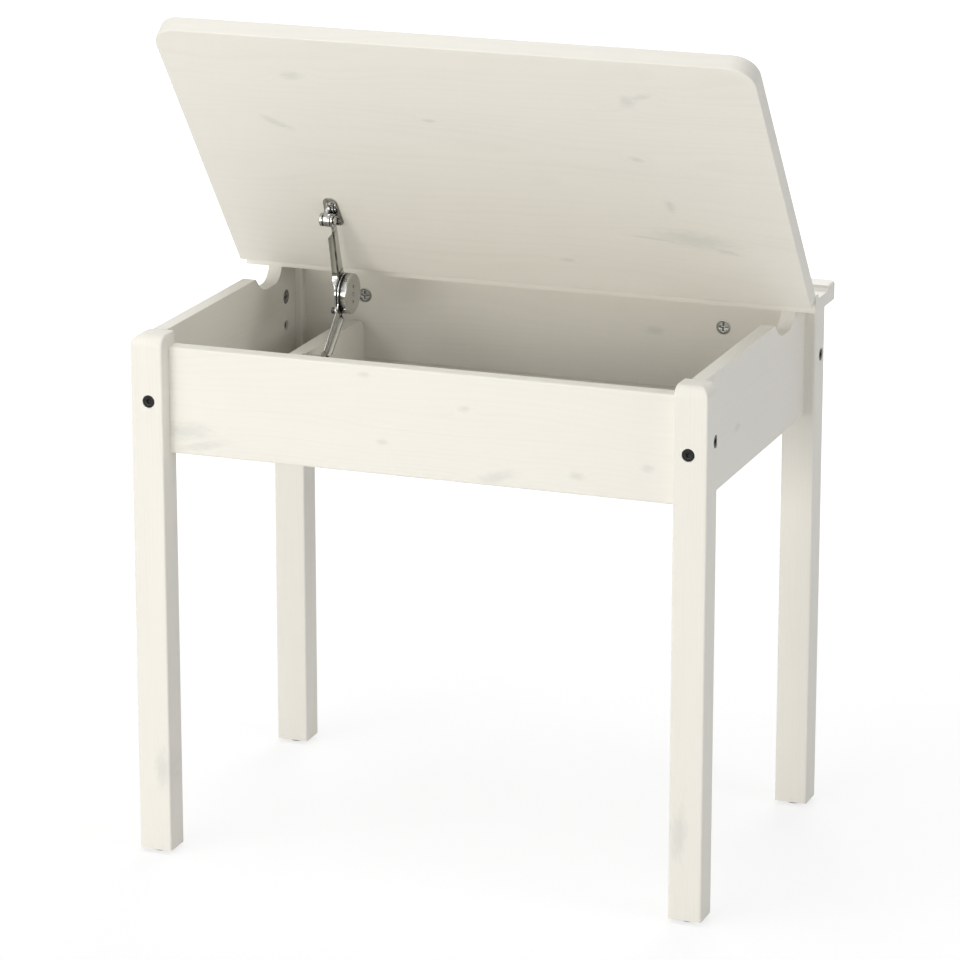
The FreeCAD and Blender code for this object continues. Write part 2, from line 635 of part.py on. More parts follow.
# Front and back panels: boards between the legs, grooved inside for the bottom board.
for name, low, high, outside, inside, deep in (
        ("front", "front_bottom", "front_top", "front_face", "front_in", "-groove_depth"),
        ("back", "side_bottom", "leg_top", "back_face", "back_in", "groove_depth")):
    board = new_body(name + "_board")
    end = new_sketch(board, "YZ_Plane", name + "_end")
    rectangle(end, outside, low, inside, high)
    pad(board, end, name + "_length", "2 * inner_x", both_ways=True)
    groove = with_groove(board, "YZ_Plane", name + "_groove", inside, f"{inside} + {deep}", "-inner_x")
    pocket(board, groove, name + "_groove_cut", "2 * inner_x", reversed_way=True)
    eased = [low, high] if name == "front" else [low]
    round_edges(board, name + "_arrises", "panel_ease", lambda edge: (
        runs_along(edge, RIGHT) and any(close(middle_of(edge).z, text) for text in eased)))
    own = [item for item in drills if "cross" in item.Name and ("rear" if name == "back" else "front") in item.Name]
    own += [item for item in cam_drills if name == "back" and "_back" in item.Name]
    keep(cut(name + "_drilled", board, own), name + "_panel")

# Side panels: level with the legs' tops, with a finger notch in front of the ear that carries the rail.
for name, sx in (("left", -1), ("right", 1)):
    board = new_body(name + "_board")
    face = new_sketch(board, "YZ_Plane", name + "_face")
    outline(face, [
        ("-inner_y", "side_bottom"), ("inner_y", "side_bottom"), ("inner_y", "leg_top"),
        ("notch_back", "leg_top"), ("notch_back - notch_lean", "leg_top - notch_depth"),
        ("notch_back - notch_length + notch_slope", "leg_top - notch_depth"),
        ("notch_back - notch_length", "leg_top"), ("-inner_y", "leg_top")])
    pad(board, face, name + "_thick", "side_thickness", both_ways=True)
    for part, curve, spot in (("rear", "rear_curve", "notch_back - notch_lean"),
                              ("front", "front_curve", "notch_back - notch_length + notch_slope")):
        round_edges(board, f"{name}_notch_{part}", curve, lambda edge: (
            runs_along(edge, RIGHT) and close(middle_of(edge).y, spot)
            and close(middle_of(edge).z, "leg_top - notch_depth")))
    groove = with_groove(
        board, "XZ_Plane", name + "_groove", f"-{sx} * side_thickness / 2",
        f"{sx} * (groove_depth - side_thickness / 2)", "-inner_y")
    pocket(board, groove, name + "_groove_cut", "2 * inner_y", reversed_way=True)
    round_edges(board, name + "_arrises", "panel_ease", lambda edge: (
        runs_along(edge, REAR) and close(middle_of(edge).z, "side_bottom")))
    place(board, f"{sx} * side_mid", "0", "0")
    own = [item for item in drills if f"{name}_side" in item.Name or f"{name}_ear" in item.Name]
    keep(cut(name + "_drilled", board, own), name + "_side_panel")

# Bottom board: slid into the panels' grooves, cut away round the legs.
across = block("bottom_across", ["2 * (side_in + groove_depth - groove_gap)", "2 * (inner_y - groove_gap)",
                                 "bottom_thickness"],
               ["-side_in - groove_depth + groove_gap", "-inner_y + groove_gap", "bottom_height"])
through = block("bottom_through", ["2 * (inner_x - groove_gap)",
                                   "back_in - front_in + 2 * (groove_depth - groove_gap)", "bottom_thickness"],
                ["-inner_x + groove_gap", "front_in - groove_depth + groove_gap", "bottom_height"])
keep(fuse("bottom_board", [across, through]), "bottom_panel")

# Divider: stands on the bottom board and carries the stay's foot.
divider = new_body("divider_board")
face = new_sketch(divider, "YZ_Plane", "divider_outline")
rectangle(face, "front_in", "bottom_top", "back_in", "divider_top")
pad(divider, face, "divider_thick", "divider_thickness")
round_edges(divider, "divider_corner", "divider_round", lambda edge: (
    runs_along(edge, RIGHT) and close(middle_of(edge).y, "back_in") and close(middle_of(edge).z, "divider_top")))
place(divider, "divider_left", "0", "0")


def bracket_screw(name, spot, way):
    """A pan-head screw whose head seats at the spot and whose shank goes on one way into the wood."""
    crown_start = moved(spot, way, "-screw_head")
    pan_start = moved(spot, way, "screw_head_round - screw_head")
    crown = cone(name + "_crown", "screw_head_radius - screw_head_round", "screw_head_radius",
                 "screw_head_round", crown_start, way)
    pan = rod(name + "_pan", "screw_head_radius", "screw_head - screw_head_round", pan_start, way)
    shank = rod(name + "_shank", "screw_radius", "base_plate + screw_length", spot, way)
    return fuse(name, [crown, pan, shank])


def screw_hole(name, spot, way):
    return rod(name, "screw_radius + drill_gap", "base_plate + screw_length", spot, way)


# The stay's foot: a plate screwed to the divider with a boss that carries the lower arm.
foot_plate = new_body("foot_plate")
face = new_sketch(foot_plate, "YZ_Plane", "foot_plate_face")
rectangle(face, "-foot_length / 2", "foot_drop - foot_edge - foot_height", "foot_length / 2", "foot_drop - foot_edge")
pad(foot_plate, face, "foot_plate_thick", "base_plate")
round_edges(foot_plate, "foot_plate_corners", "foot_corner", lambda edge: runs_along(edge, RIGHT))
boss = new_sketch(foot_plate, "YZ_Plane", "foot_boss_face")
circle(boss, "0", "0", "boss_radius")
pad(foot_plate, boss, "foot_boss", "foot_standoff - side_gap")
place(foot_plate, "divider_face", "foot_y", "foot_z")
foot_screws = []
foot_holes = []
for name, sy in (("front", -1), ("rear", 1)):
    spot = ["divider_face + base_plate", f"foot_y + {sy} * screw_spacing / 2",
            "divider_top - foot_edge - screw_drop"]
    foot_screws.append(bracket_screw(f"foot_{name}_screw", spot, LEFT))
    foot_holes.append(screw_hole(f"foot_{name}_hole", spot, LEFT))
foot_bore = rod("foot_bore", "pivot_radius + drill_gap", "foot_standoff", ["divider_face", "foot_y", "foot_z"], RIGHT)
keep(cut("foot_drilled", foot_plate, foot_holes + [foot_bore]), "stay_foot_bracket")
keep(group("foot_screws", foot_screws), "stay_foot_screws")
keep(cut("divider_drilled", divider, foot_holes), "stay_divider")


def pivot_pin(name, spot, length):
    """A headed pin from its boss through an arm's eye, with its head on the right."""
    shank = rod(name + "_shank", "pivot_radius", length, spot, RIGHT)
    head = rod(name + "_head", "pivot_head_radius", "pivot_head", moved(spot, RIGHT, length), RIGHT)
    return fuse(name, [shank, head])


keep(pivot_pin("foot_pivot", ["divider_face", "foot_y", "foot_z"], "foot_standoff + lower_plate + side_gap"),
     "stay_foot_pin")

# Pen rail: lies on the rear legs and the panels, with a groove for pens along its top.
rail = new_body("rail_board")
end = new_sketch(rail, "YZ_Plane", "rail_end")
outline(end, [("rail_front", "leg_top"), ("outer_y", "leg_top"), ("outer_y", "rail_top"),
              ("pen_back", "rail_top"), ("pen_back", "rail_top - pen_depth"),
              ("pen_front", "rail_top - pen_depth"), ("pen_front", "rail_top"), ("rail_front", "rail_top")])
pad(rail, end, "rail_long", "top_length", both_ways=True)
round_edges(rail, "rail_corners", "rail_round", lambda edge: (
    runs_along(edge, UP) and close(middle_of(edge).y, "outer_y")))
round_edges(rail, "pen_corners", "pen_curve", lambda edge: (
    runs_along(edge, RIGHT) and close(middle_of(edge).z, "rail_top - pen_depth")))
round_edges(rail, "rail_arrises", "rail_ease", lambda edge: (
    close(middle_of(edge).z, "rail_top") and middle_of(edge).y > number("pen_back + rail_ease")
    or runs_along(edge, RIGHT) and close(middle_of(edge).z, "rail_top") and close(middle_of(edge).y, "rail_front")))

# Hinges: butt hinges in the gap between the rail and the lid, with the pin at the top.
# The rail's leaf has the two outer knuckles and the lid's leaf the middle one.
rail_screws = []
rail_holes = []
lid_screws = []
lid_holes = []


def leaf_screw(name, spot, way):
    """A countersunk screw, flush with its leaf."""
    head = cone(name + "_head", "leaf_screw_head", "leaf_screw_radius", "leaf_thickness", spot, way)
    shank = rod(name + "_shank", "leaf_screw_radius", "leaf_thickness + leaf_screw_length", spot, way)
    return fuse(name, [head, shank])


def leaf_hole(name, spot, way):
    """The countersunk hole of a leaf screw, in the leaf and in the wood behind it."""
    sink = cone(name + "_sink", "leaf_screw_head + drill_gap", "leaf_screw_radius + drill_gap",
                "leaf_thickness", spot, way)
    bore = rod(name + "_bore", "leaf_screw_radius + drill_gap", "leaf_thickness + leaf_screw_length", spot, way)
    return fuse(name, [sink, bore])


def leaf(name, side, spans):
    """A hinge leaf from the hinge axis: side is 1 for the rail's leaf and -1 for the lid's."""
    body = new_body(name)
    inner = f"{side} * (lid_gap / 2 - leaf_thickness)"
    outer = f"{side} * lid_gap / 2"
    collar = "knuckle_radius + knuckle_gap"
    flat = new_sketch(body, "YZ_Plane", name + "_flat")
    rectangle(flat, inner, "-leaf_height", outer, f"-({collar})")
    pad(body, flat, name + "_plate", "hinge_length", both_ways=True)
    for index, (left, right) in enumerate(spans):
        neck = new_sketch(body, "YZ_Plane", f"{name}_neck{index}", left)
        rectangle(neck, inner, f"-({collar})", outer, "0")
        pad(body, neck, f"{name}_rise{index}", f"{right} - ({left})")
        ring = new_sketch(body, "YZ_Plane", f"{name}_ring{index}", left)
        circle(ring, "0", "0", "knuckle_radius")
        pad(body, ring, f"{name}_knuckle{index}", f"{right} - ({left})")
    eye = new_sketch(body, "YZ_Plane", name + "_eye", "-hinge_length / 2")
    circle(eye, "0", "0", "hinge_pin_radius + pin_fit")
    pocket(body, eye, name + "_bore", "hinge_length", reversed_way=True)
    return body


for name, sx in (("left", -1), ("right", 1)):
    middle = f"{sx} * hinge_x"
    outer_knuckles = [("-hinge_length / 2", "-knuckle_length / 2 - knuckle_gap"),
                      ("knuckle_length / 2 + knuckle_gap", "hinge_length / 2")]
    fixed = leaf(name + "_fixed_leaf", 1, outer_knuckles)
    place(fixed, middle, "hinge_y", "hinge_z")
    swung = leaf(name + "_swung_leaf", -1, [("-knuckle_length / 2", "knuckle_length / 2")])
    place(swung, middle, "0", "0")
    fixed_holes = []
    swung_holes = []
    for index, ss in enumerate((-1, 1)):
        screw_x = f"{middle} + {ss} * leaf_screw_spacing / 2"
        spot = [screw_x, "hinge_y + lid_gap / 2 - leaf_thickness", "hinge_z - leaf_screw_drop"]
        rail_screws.append(leaf_screw(f"{name}_rail_screw{index}", spot, REAR))
        fixed_holes.append(leaf_hole(f"{name}_rail_hole{index}", spot, REAR))
        spot = [screw_x, "leaf_thickness - lid_gap / 2", "-leaf_screw_drop"]
        lid_screws.append(leaf_screw(f"{name}_lid_screw{index}", spot, FRONT))
        swung_holes.append(leaf_hole(f"{name}_lid_hole{index}", spot, FRONT))
    rail_holes.extend(fixed_holes)
    lid_holes.extend(swung_holes)
    # a hollow in the lid's rear arris that the knuckles turn in
    lid_holes.append(rod(name + "_knuckle_hollow", "knuckle_radius + knuckle_gap", "hinge_length + 2 * knuckle_gap",
                         [f"{middle} - hinge_length / 2 - knuckle_gap", "0", "0"], RIGHT))
    keep(cut(name + "_fixed_drilled", fixed, fixed_holes), name + "_rail_leaf")
    keep(on_lid(cut(name + "_swung_drilled", swung, swung_holes)), name + "_lid_leaf")
    keep(rod(name + "_pin", "hinge_pin_radius", "hinge_length",
             [f"{middle} - hinge_length / 2", "hinge_y", "hinge_z"], RIGHT), name + "_hinge_pin")
keep(group("rail_screws", rail_screws), "rail_leaf_screws")
keep(on_lid(group("lid_screws", lid_screws)), "lid_leaf_screws")
keep(cut("rail_drilled", rail, [item for item in cam_drills if "_pin_hole" in item.Name] + rail_holes), "pen_rail")

# The stay's lid bracket: a plate screwed to the lid, wider at its rear end, with a barrel for the upper
# arm's pivot.
bracket = new_body("lid_bracket")
face = new_sketch(bracket, "XY_Plane", "bracket_plate_face", "stay_below - base_plate")
plate_left = "bracket_x - barrel_end - bracket_width / 2"
plate_right = "bracket_x - barrel_end + bracket_width / 2"
plate_front = "-bracket_ahead - bracket_length / 2"
plate_rear = "bracket_length / 2 - bracket_ahead"
outline(face, [(plate_left, plate_front), (plate_right, plate_front),
               (plate_right, plate_rear), (plate_left + " - bracket_flare", plate_rear)])
pad(bracket, face, "bracket_plate", "base_plate")
round_edges(bracket, "bracket_ends", "bracket_curve", lambda edge: runs_along(edge, UP))
cheek = new_sketch(bracket, "YZ_Plane", "bracket_cheek_face", "cheek_inset - barrel_length")
rectangle(cheek, "-barrel_radius", "0", "barrel_radius", "stay_below - base_plate")
pad(bracket, cheek, "bracket_cheek", "barrel_length - 2 * cheek_inset")
for name, start, length, radius in (
        ("collar", "-barrel_length", "collar_length", "barrel_radius"),
        ("neck", "collar_length - barrel_length", "neck_length", "barrel_radius - neck_depth"),
        ("barrel", "collar_length + neck_length - barrel_length", "barrel_length - collar_length - neck_length",
         "barrel_radius")):
    ring = new_sketch(bracket, "YZ_Plane", f"bracket_{name}_end", start)
    circle(ring, "0", "0", radius)
    pad(bracket, ring, f"bracket_{name}", length)
place(bracket, "barrel_end", "-stay_along", "-stay_drop")
stay_screws = []
stay_holes = []
for name, across, ahead in (("upper", "bracket_x", "-lid_screw_front"),
                            ("lower", "bracket_x + lid_screw_side", "lid_screw_rear")):
    spot = [across, f"{ahead} - stay_along", "-lid_under - base_plate"]
    stay_screws.append(bracket_screw(f"stay_{name}_screw", spot, UP))
    stay_holes.append(screw_hole(f"stay_{name}_hole", spot, UP))
barrel_bore = rod("barrel_bore", "pivot_radius + drill_gap", "barrel_length",
                  ["barrel_end - barrel_length", "-stay_along", "-stay_drop"], RIGHT)
keep(on_lid(cut("bracket_drilled", bracket, stay_holes + [barrel_bore])), "stay_lid_bracket")
keep(on_lid(group("stay_screws", stay_screws)), "stay_lid_screws")
keep(on_lid(pivot_pin("lid_pivot", ["barrel_end - barrel_length", "-stay_along", "-stay_drop"],
                      "barrel_length + plate + 2 * side_gap")), "stay_lid_pin")

# Lid: one board with rounded front corners and eased arrises.
lid = new_body("lid_board")
plan = new_sketch(lid, "XY_Plane", "lid_plan", "-lid_under")
rectangle(plan, "-top_length / 2", "-lid_rear - lid_depth", "top_length / 2", "-lid_rear")
pad(lid, plan, "lid_thick", "lid_thickness")
round_edges(lid, "lid_corners", "lid_round", lambda edge: (
    runs_along(edge, UP) and close(middle_of(edge).y, "-lid_rear - lid_depth")))
round_edges(lid, "lid_arrises", "lid_ease", lambda edge: not runs_along(edge, UP))
keep(on_lid(cut("lid_drilled", lid, lid_holes + stay_holes)), "desk_lid")


def arm(name, thickness, eye_radius, flange_side, flange, start, end):
    """A stay arm from its pivot along +Y to its elbow disc, with a flange along one edge of its plate."""
    body = new_body(name)
    disc = new_sketch(body, "YZ_Plane", name + "_disc_face")
    circle(disc, "arm_length", "0", "disc_radius")
    pad(body, disc, name + "_disc", thickness)
    strip = new_sketch(body, "YZ_Plane", name + "_strip_face")
    outline(strip, [("0", "-arm_neck / 2"), ("arm_length", "-arm_shoulder / 2"),
                    ("arm_length", "arm_shoulder / 2"), ("0", "arm_neck / 2")])
    pad(body, strip, name + "_strip", thickness)
    round_edges(body, name + "_flare", "disc_fillet", lambda edge: (
        runs_along(edge, RIGHT) and middle_of(edge).y > number("arm_length / 2")))
    tip = new_sketch(body, "YZ_Plane", name + "_end_face")
    circle(tip, "0", "0", eye_radius)
    pad(body, tip, name + "_end", thickness)
    # the flange stands on the plate's edge, which leaves the arm's middle line towards the disc
    slope = "(arm_shoulder - arm_neck) / 2 / arm_length"
    lip = new_sketch(body, "XY_Plane", name + "_flange_face", f"-arm_neck / 2 - {slope} * {end}")
    reach = f"{flange_side} * {flange}"
    if flange_side > 0:
        reach = f"{thickness} + {flange}"
    root = "0" if flange_side > 0 else thickness
    outline(lip, [(root, start), (root, end),
                  (reach, f"{end} - flange_taper"), (reach, f"{start} + flange_taper")])
    pad(body, lip, name + "_flange", f"{thickness} + {slope} * ({end} - {start})")
    return body


def arm_bores(body, name, thickness, elbow_bore):
    """Bores the pivot eye, and the elbow where the rivet goes through."""
    eye = new_sketch(body, "YZ_Plane", name + "_eye")
    circle(eye, "0", "0", "pivot_radius + pin_fit")
    pocket(body, eye, name + "_eye_bore", thickness, reversed_way=True)
    if elbow_bore:
        hole = new_sketch(body, "YZ_Plane", name + "_elbow")
        circle(hole, "arm_length", "0", "rivet_radius + pin_fit")
        pocket(body, hole, name + "_elbow_bore", thickness, reversed_way=True)


# Upper arm: hangs from the lid bracket, its flange towards the front, with a lug for the stop stud.
stop_y = "arm_length - stop_reach * cos(stop_turn)"
stop_z = "-stop_reach * sin(stop_turn)"
upper = arm("upper_arm", "plate", "upper_eye", -1, "upper_flange", "flange_start", "upper_flange_end")
lug = new_sketch(upper, "YZ_Plane", "stop_lug_face")
circle(lug, stop_y, stop_z, "stop_lug")
pad(upper, lug, "stop_lug_plate", "plate")
arm_bores(upper, "upper", "plate", False)
place(upper, "upper_x", "pivot_y", "pivot_z")
turn(upper, LEFT, "upper_lean")
keep(upper, "stay_upper_arm")
stud = new_body("stop_stud")
face = new_sketch(stud, "YZ_Plane", "stop_stud_face", "-stop_length")
circle(face, stop_y, stop_z, "stop_radius")
pad(stud, face, "stop_stud_length", "stop_length")
place(stud, "upper_x", "pivot_y", "pivot_z")
turn(stud, LEFT, "upper_lean")
keep(stud, "stay_stop_stud")

# Lower arm: turns on the foot's boss, its flange towards the rear, and carries the friction elbow.
lower = arm("lower_arm", "lower_plate", "lower_eye", 1, "lower_flange", "lower_flange_start", "lower_flange_end")
arm_bores(lower, "lower", "lower_plate", True)
place(lower, "lower_x", "foot_y", "foot_z")
turn(lower, RIGHT, "lower_lean")
keep(lower, "stay_lower_arm")

# Friction elbow on the lower arm: washer, spacer, housing and rivet.
for name, start, thickness, radius in (
        ("stay_friction_washer", "washer_x", "washer_thickness", "washer_radius"),
        ("stay_spacer", "spacer_x", "spacer_thickness", "washer_radius")):
    ring = new_body(name + "_ring")
    face = new_sketch(ring, "YZ_Plane", name + "_face")
    circle(face, "0", "0", radius)
    circle(face, "0", "0", "rivet_radius + pin_fit")
    pad(ring, face, name + "_thick", thickness)
    place(ring, start, "elbow_y", "elbow_z")
    keep(ring, name)
housing = new_body("housing")
half = new_sketch(housing, "XY_Plane", "housing_profile")
outline(half, [
    ("0", "rivet_radius + pin_fit"), ("0", "disc_radius"),
    ("housing_height - housing_bevel", "disc_radius"), ("housing_height", "disc_radius - housing_bevel"),
    ("housing_height", "0"), ("housing_height - housing_cap", "0"),
    ("housing_height - housing_cap", "rivet_radius + pin_fit")])
spin = housing.newObject("PartDesign::Revolution", "housing_turned")
spin.Profile = half
spin.ReferenceAxis = (half, ["H_Axis"])
spin.Angle = 360
dimples = new_sketch(housing, "YZ_Plane", "housing_dimples", "housing_height - dimple_depth")
circle(dimples, "0", "0", "mark_radius")
circle(dimples, "0", "dimple_reach", "dimple_radius")
circle(dimples, "0", "-dimple_reach", "dimple_radius")
pocket(housing, dimples, "housing_dimple_cut", "dimple_depth", reversed_way=True)
place(housing, "housing_x", "elbow_y", "elbow_z")
keep(housing, "stay_housing")
keep(rod("elbow_rivet", "rivet_radius",
         "washer_thickness + lower_plate + spacer_thickness + housing_height - housing_cap",
         ["washer_x", "elbow_y", "elbow_z"], RIGHT), "stay_elbow_rivet")

keep(group("side_bolt_group", side_bolts), "side_panel_bolts")
keep(group("cross_bolt_group", cross_bolts), "cross_panel_bolts")
keep(group("nut_group", nuts), "barrel_nuts")
keep(group("dowel_group", dowels), "panel_dowels")
keep(group("cam_group", cams), "rail_cams")
keep(group("cam_pin_group", cam_pins), "rail_cam_dowels")

doc.recompute()
faults = [item.Name for item in doc.Objects if {"Invalid", "Error"} & set(item.State)]
faults += [item.Label for item in pieces if item.Shape.isNull() or not item.Shape.isValid()]
if faults:
    raise RuntimeError("failed: " + ", ".join(faults))
os.makedirs("parts", exist_ok=True)
for item in pieces:
    item.Shape.exportStep(f"parts/{item.Label}.step")
    print(item.Label, len(item.Shape.Solids), round(item.Shape.Volume, 1))
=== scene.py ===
import json
import math
from functools import partial
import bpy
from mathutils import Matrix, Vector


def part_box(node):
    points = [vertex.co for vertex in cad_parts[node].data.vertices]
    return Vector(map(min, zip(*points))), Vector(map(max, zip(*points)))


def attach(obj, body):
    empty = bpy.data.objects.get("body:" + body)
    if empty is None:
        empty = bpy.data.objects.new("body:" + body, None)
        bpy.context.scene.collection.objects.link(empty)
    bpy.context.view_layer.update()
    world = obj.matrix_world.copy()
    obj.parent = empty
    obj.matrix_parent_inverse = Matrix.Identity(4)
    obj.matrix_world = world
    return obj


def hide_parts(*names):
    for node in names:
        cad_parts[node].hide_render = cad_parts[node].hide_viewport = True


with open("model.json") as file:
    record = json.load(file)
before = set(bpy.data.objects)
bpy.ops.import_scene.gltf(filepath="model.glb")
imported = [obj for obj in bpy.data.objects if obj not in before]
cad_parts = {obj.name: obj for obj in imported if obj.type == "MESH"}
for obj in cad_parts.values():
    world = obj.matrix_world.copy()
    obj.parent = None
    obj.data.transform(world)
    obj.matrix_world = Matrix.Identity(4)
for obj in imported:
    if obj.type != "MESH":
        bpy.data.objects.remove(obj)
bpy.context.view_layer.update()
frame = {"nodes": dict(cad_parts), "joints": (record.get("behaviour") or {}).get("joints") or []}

from types import SimpleNamespace

import bpy
import numpy as np
from bpy.props import FloatProperty, FloatVectorProperty, PointerProperty
from bpy.types import NodeSocket, Operator, Panel, PropertyGroup, Scene
from mathutils import Matrix, Vector

bl_info = {
    "name": "Kids Desk Finish",
    "version": (1, 0, 0),
    "blender": (4, 5, 0),
    "location": "View3D > Sidebar > Desk",
    "description": "White-stained pine, bolts, cam locks and the folding lid stay of a child's desk",
    "category": "Object",
}

NODES = frame["nodes"]
JOINTS = {joint["name"]: joint for joint in frame["joints"]}
HINGE = np.array(JOINTS["lid_hinge"]["pos_m"])
LID_PIVOT = np.array(JOINTS["stay_lid_hinge"]["pos_m"])
FOOT_PIVOT = np.array(JOINTS["stay_foot_hinge"]["pos_m"])
OPEN = math.radians(JOINTS["lid_hinge"]["range_deg"][1])
# The lid's own axes while it stands open: along its width, from front to hinge, and out of its top.
LID_AXES = np.array([[1, 0, 0], [0, math.cos(OPEN), -math.sin(OPEN)], [0, math.sin(OPEN), math.cos(OPEN)]])
X, Y, Z = np.eye(3)
YZ = Y + Z
MM = 0.001
CORNERS = ("front_left", "front_right", "rear_left", "rear_right")
SIDES = (-1, 1)

SHARP = math.radians(40)  # the least turn of a sharp edge
ARRIS_FROM, ARRIS_FULL = 13, 21  # turns in degrees at which arrises and creases begin to take their colour of wear and painted shade, and take it fully
TINY = 1e-6  # stands for zero
BOLT_LENGTH = {"side_panel_bolts": 62.5 * MM, "cross_panel_bolts": 64.5 * MM}
CAM_INSET = 65 * MM  # cam locks of the back panel from its ends
PIVOT_DROP = 9.7 * MM  # the stay's pivot under the lid's lower face
PLATE_FRONT, PLATE_REAR, PLATE_FRONT_WIDTH = 22.5 * MM, 17.5 * MM, 14 * MM  # lid bracket's plate about the pivot
SCREW_REACH = 14 * MM
PIN_HEAD, PIN_HEAD_HEIGHT, PIN_SHANK = 4.5 * MM, 1.6 * MM, 3 * MM
FLOAT, VECTOR, COLOUR = "NodeSocketFloat", "NodeSocketVector", "NodeSocketColor"
SURFACE = {COLOUR: ["Color"], FLOAT: ["Roughness", "Height"]}  # what the group of a surface puts out


# ---- sizes and colours that a user would change

def number(name, description, default, **kind):
    return FloatProperty(name=name, description=description, default=default, **kind)


def length(name, description, millimetres):
    return number(name, description, millimetres * MM, unit="LENGTH", subtype="DISTANCE", precision=4)


def share(name, description, value):
    return number(name, description, value, min=0, max=1, subtype="FACTOR")


def power(name, description, watts):
    return number(name, description, watts, min=0, subtype="POWER")


def colour(name, description, *tint):
    return FloatVectorProperty(
        name=name, description=description, default=tint, subtype="COLOR", size=3, min=0, max=1)


class DeskWood(PropertyGroup):
    """White-stained pine."""
    stain: colour("Stain", "wood between the growth rings", 0.800, 0.779, 0.720)
    ring_tint: colour("Ring tint", "late wood under the stain", 0.690, 0.655, 0.572)
    knot_tint: colour("Knot tint", "a knot under the stain", 0.515, 0.535, 0.505)
    ring_show: share("Ring strength", "how much the growth rings show", 0.13)
    knot_show: share("Knot strength", "how much the knots show", 0.36)
    sheen: share("Roughness", "roughness of the stained surface", 0.56)


class DeskMetal(PropertyGroup):
    """Finishes of the hardware."""
    nickel: colour("Nickel", "plated steel of the lid stay", 0.570, 0.573, 0.558)
    zinc: colour("Zinc", "cam locks, hinges and barrel nuts", 0.520, 0.523, 0.505)
    # painted dark reflections and shade on the plating's arrises and creases, and on the stop stud's
    edge_wear_and_shade: colour("Arris shade", "painted dark reflections and shade on the plating's arrises and creases", 0.055, 0.055, 0.052)
    oxide: colour("Black oxide", "socket-head bolts", 0.0075, 0.0075, 0.0070)
    plastic: colour("Glide plastic", "glides under the legs", 0.120, 0.120, 0.117)
    friction: colour("Friction plastic", "washer in the stay's elbow", 0.050, 0.050, 0.052)


class DeskHardware(PropertyGroup):
    """Sizes of the small pieces."""
    bolt_head: length("Bolt head radius", "head of a socket bolt", 6)
    bolt_height: length("Bolt head height", "head of a socket bolt", 4)
    bolt_shank: length("Bolt shank radius", "shank of a socket bolt", 3)
    socket: length("Socket radius", "to the hexagon's corners", 2.5)
    socket_depth: length("Socket depth", "hexagon in the bolt's head", 2.6)
    cam: length("Cam radius", "cam lock in a panel's inner face", 7.4)
    cam_depth: length("Cam depth", "cam lock into the panel", 11)
    cross: length("Cross length", "half of a cam lock's cross recess", 4.4)
    cross_width: length("Cross width", "half of the width of its arms", 1)
    screw_head: length("Screw head radius", "a bracket's screw", 4)
    screw_height: length("Screw head height", "a bracket's screw", 2.4)
    screw_shank: length("Screw shank radius", "a bracket's screw", 1.8)
    edge: length("Edge rounding", "rounding of pressed and turned edges", 0.45)


class DeskStay(PropertyGroup):
    """Sizes of the folding lid stay."""
    plate: length("Upper plate", "upper arm's sheet", 2)
    lower_plate: length("Lower plate", "lower arm's sheet", 1.7)
    disc: length("Elbow disc", "radius of the elbow's discs", 20.5)
    neck: length("Arm neck", "arm width at its pivot", 8)
    shoulder: length("Arm shoulder", "arm width at its disc", 13)
    upper_eye: length("Upper eye", "radius at the upper pivot", 6.5)
    lower_eye: length("Lower eye", "radius at the lower pivot", 9)
    upper_flange: length("Upper flange", "height of the bent edge", 5)
    lower_flange: length("Lower flange", "height of the bent edge", 4.5)
    upper_start: length("Upper flange start", "from the upper pivot", 12)
    upper_end: length("Upper flange end", "from the upper pivot", 69.5)
    lower_start: length("Lower flange start", "from the lower pivot", 6)
    lower_end: length("Lower flange end", "from the lower pivot", 61)
    flange_taper: length("Flange taper", "run of its sloping ends", 7)
    flare: length("Flare", "rounding where an arm widens into its disc", 9)
    bend: length("Bend", "outside radius of the bent edges", 1.9)
    boss: length("Barrel radius", "lid bracket's barrel", 6.7)
    collar: length("Collar", "collar at the barrel's left end", 3.2)
    groove: length("Groove", "groove beside the collar", 1)
    groove_depth: length("Groove depth", "groove beside the collar", 0.7)
    barrel: length("Barrel length", "lid bracket's barrel", 11.5)
    bracket_plate: length("Bracket plate", "thickness of the brackets", 2)


class DeskStage(PropertyGroup):
    """Camera, light and floor."""
    azimuth: number("Azimuth", "camera to the right of the front", math.radians(20.458), subtype="ANGLE")
    elevation: number("Elevation", "camera above the level", math.radians(16.068), subtype="ANGLE")
    distance: number("Distance", "camera from the middle of the view", 4.4717, unit="LENGTH")
    target: FloatVectorProperty(name="Target", description="middle of the view", subtype="TRANSLATION", size=3,
                                default=(-0.003173, 0.0, 0.357593))
    lens: number("Focal length", "for a sensor 36 mm wide, in millimetres", 171.387)
    sky: number("Surround light", "light from all round", 0.30, min=0)
    key: power("Key lamp", "low soft lamp from the front left", 68)
    high: power("High lamp", "high soft lamp from the left", 18)
    top: power("Top lamp", "soft lamp overhead", 34)
    right: power("Right lamp", "soft lamp from the right", 15)
    back: power("Back lamp", "soft lamp from behind", 56)
    floor: colour("Floor", "pale floor", 0.80, 0.80, 0.80)


# ---- surfaces

def put(name, data):
    """A new object in the scene."""
    thing = bpy.data.objects.new(name, data)
    bpy.context.scene.collection.objects.link(thing)
    return thing


def centre(low, high):
    """Middle of a box."""
    return (np.array(low) + np.array(high)) / 2


def corner_arcs(corner, size, way_in, way_out, steps):
    """Arcs on corners: corner + size * (out * (1 - cos a) - in * (1 - sin a)), a from 0 to 90 degrees.

    In and out are unit directions. It is a quarter circle at a right angle and an ellipse's part at others.
    """
    angle = np.linspace(0, math.pi / 2, steps)[:, None]
    bow = way_out[:, None] * (1 - np.cos(angle)) - way_in[:, None] * (1 - np.sin(angle))
    return corner[..., None, :] + size[..., None, None] * bow


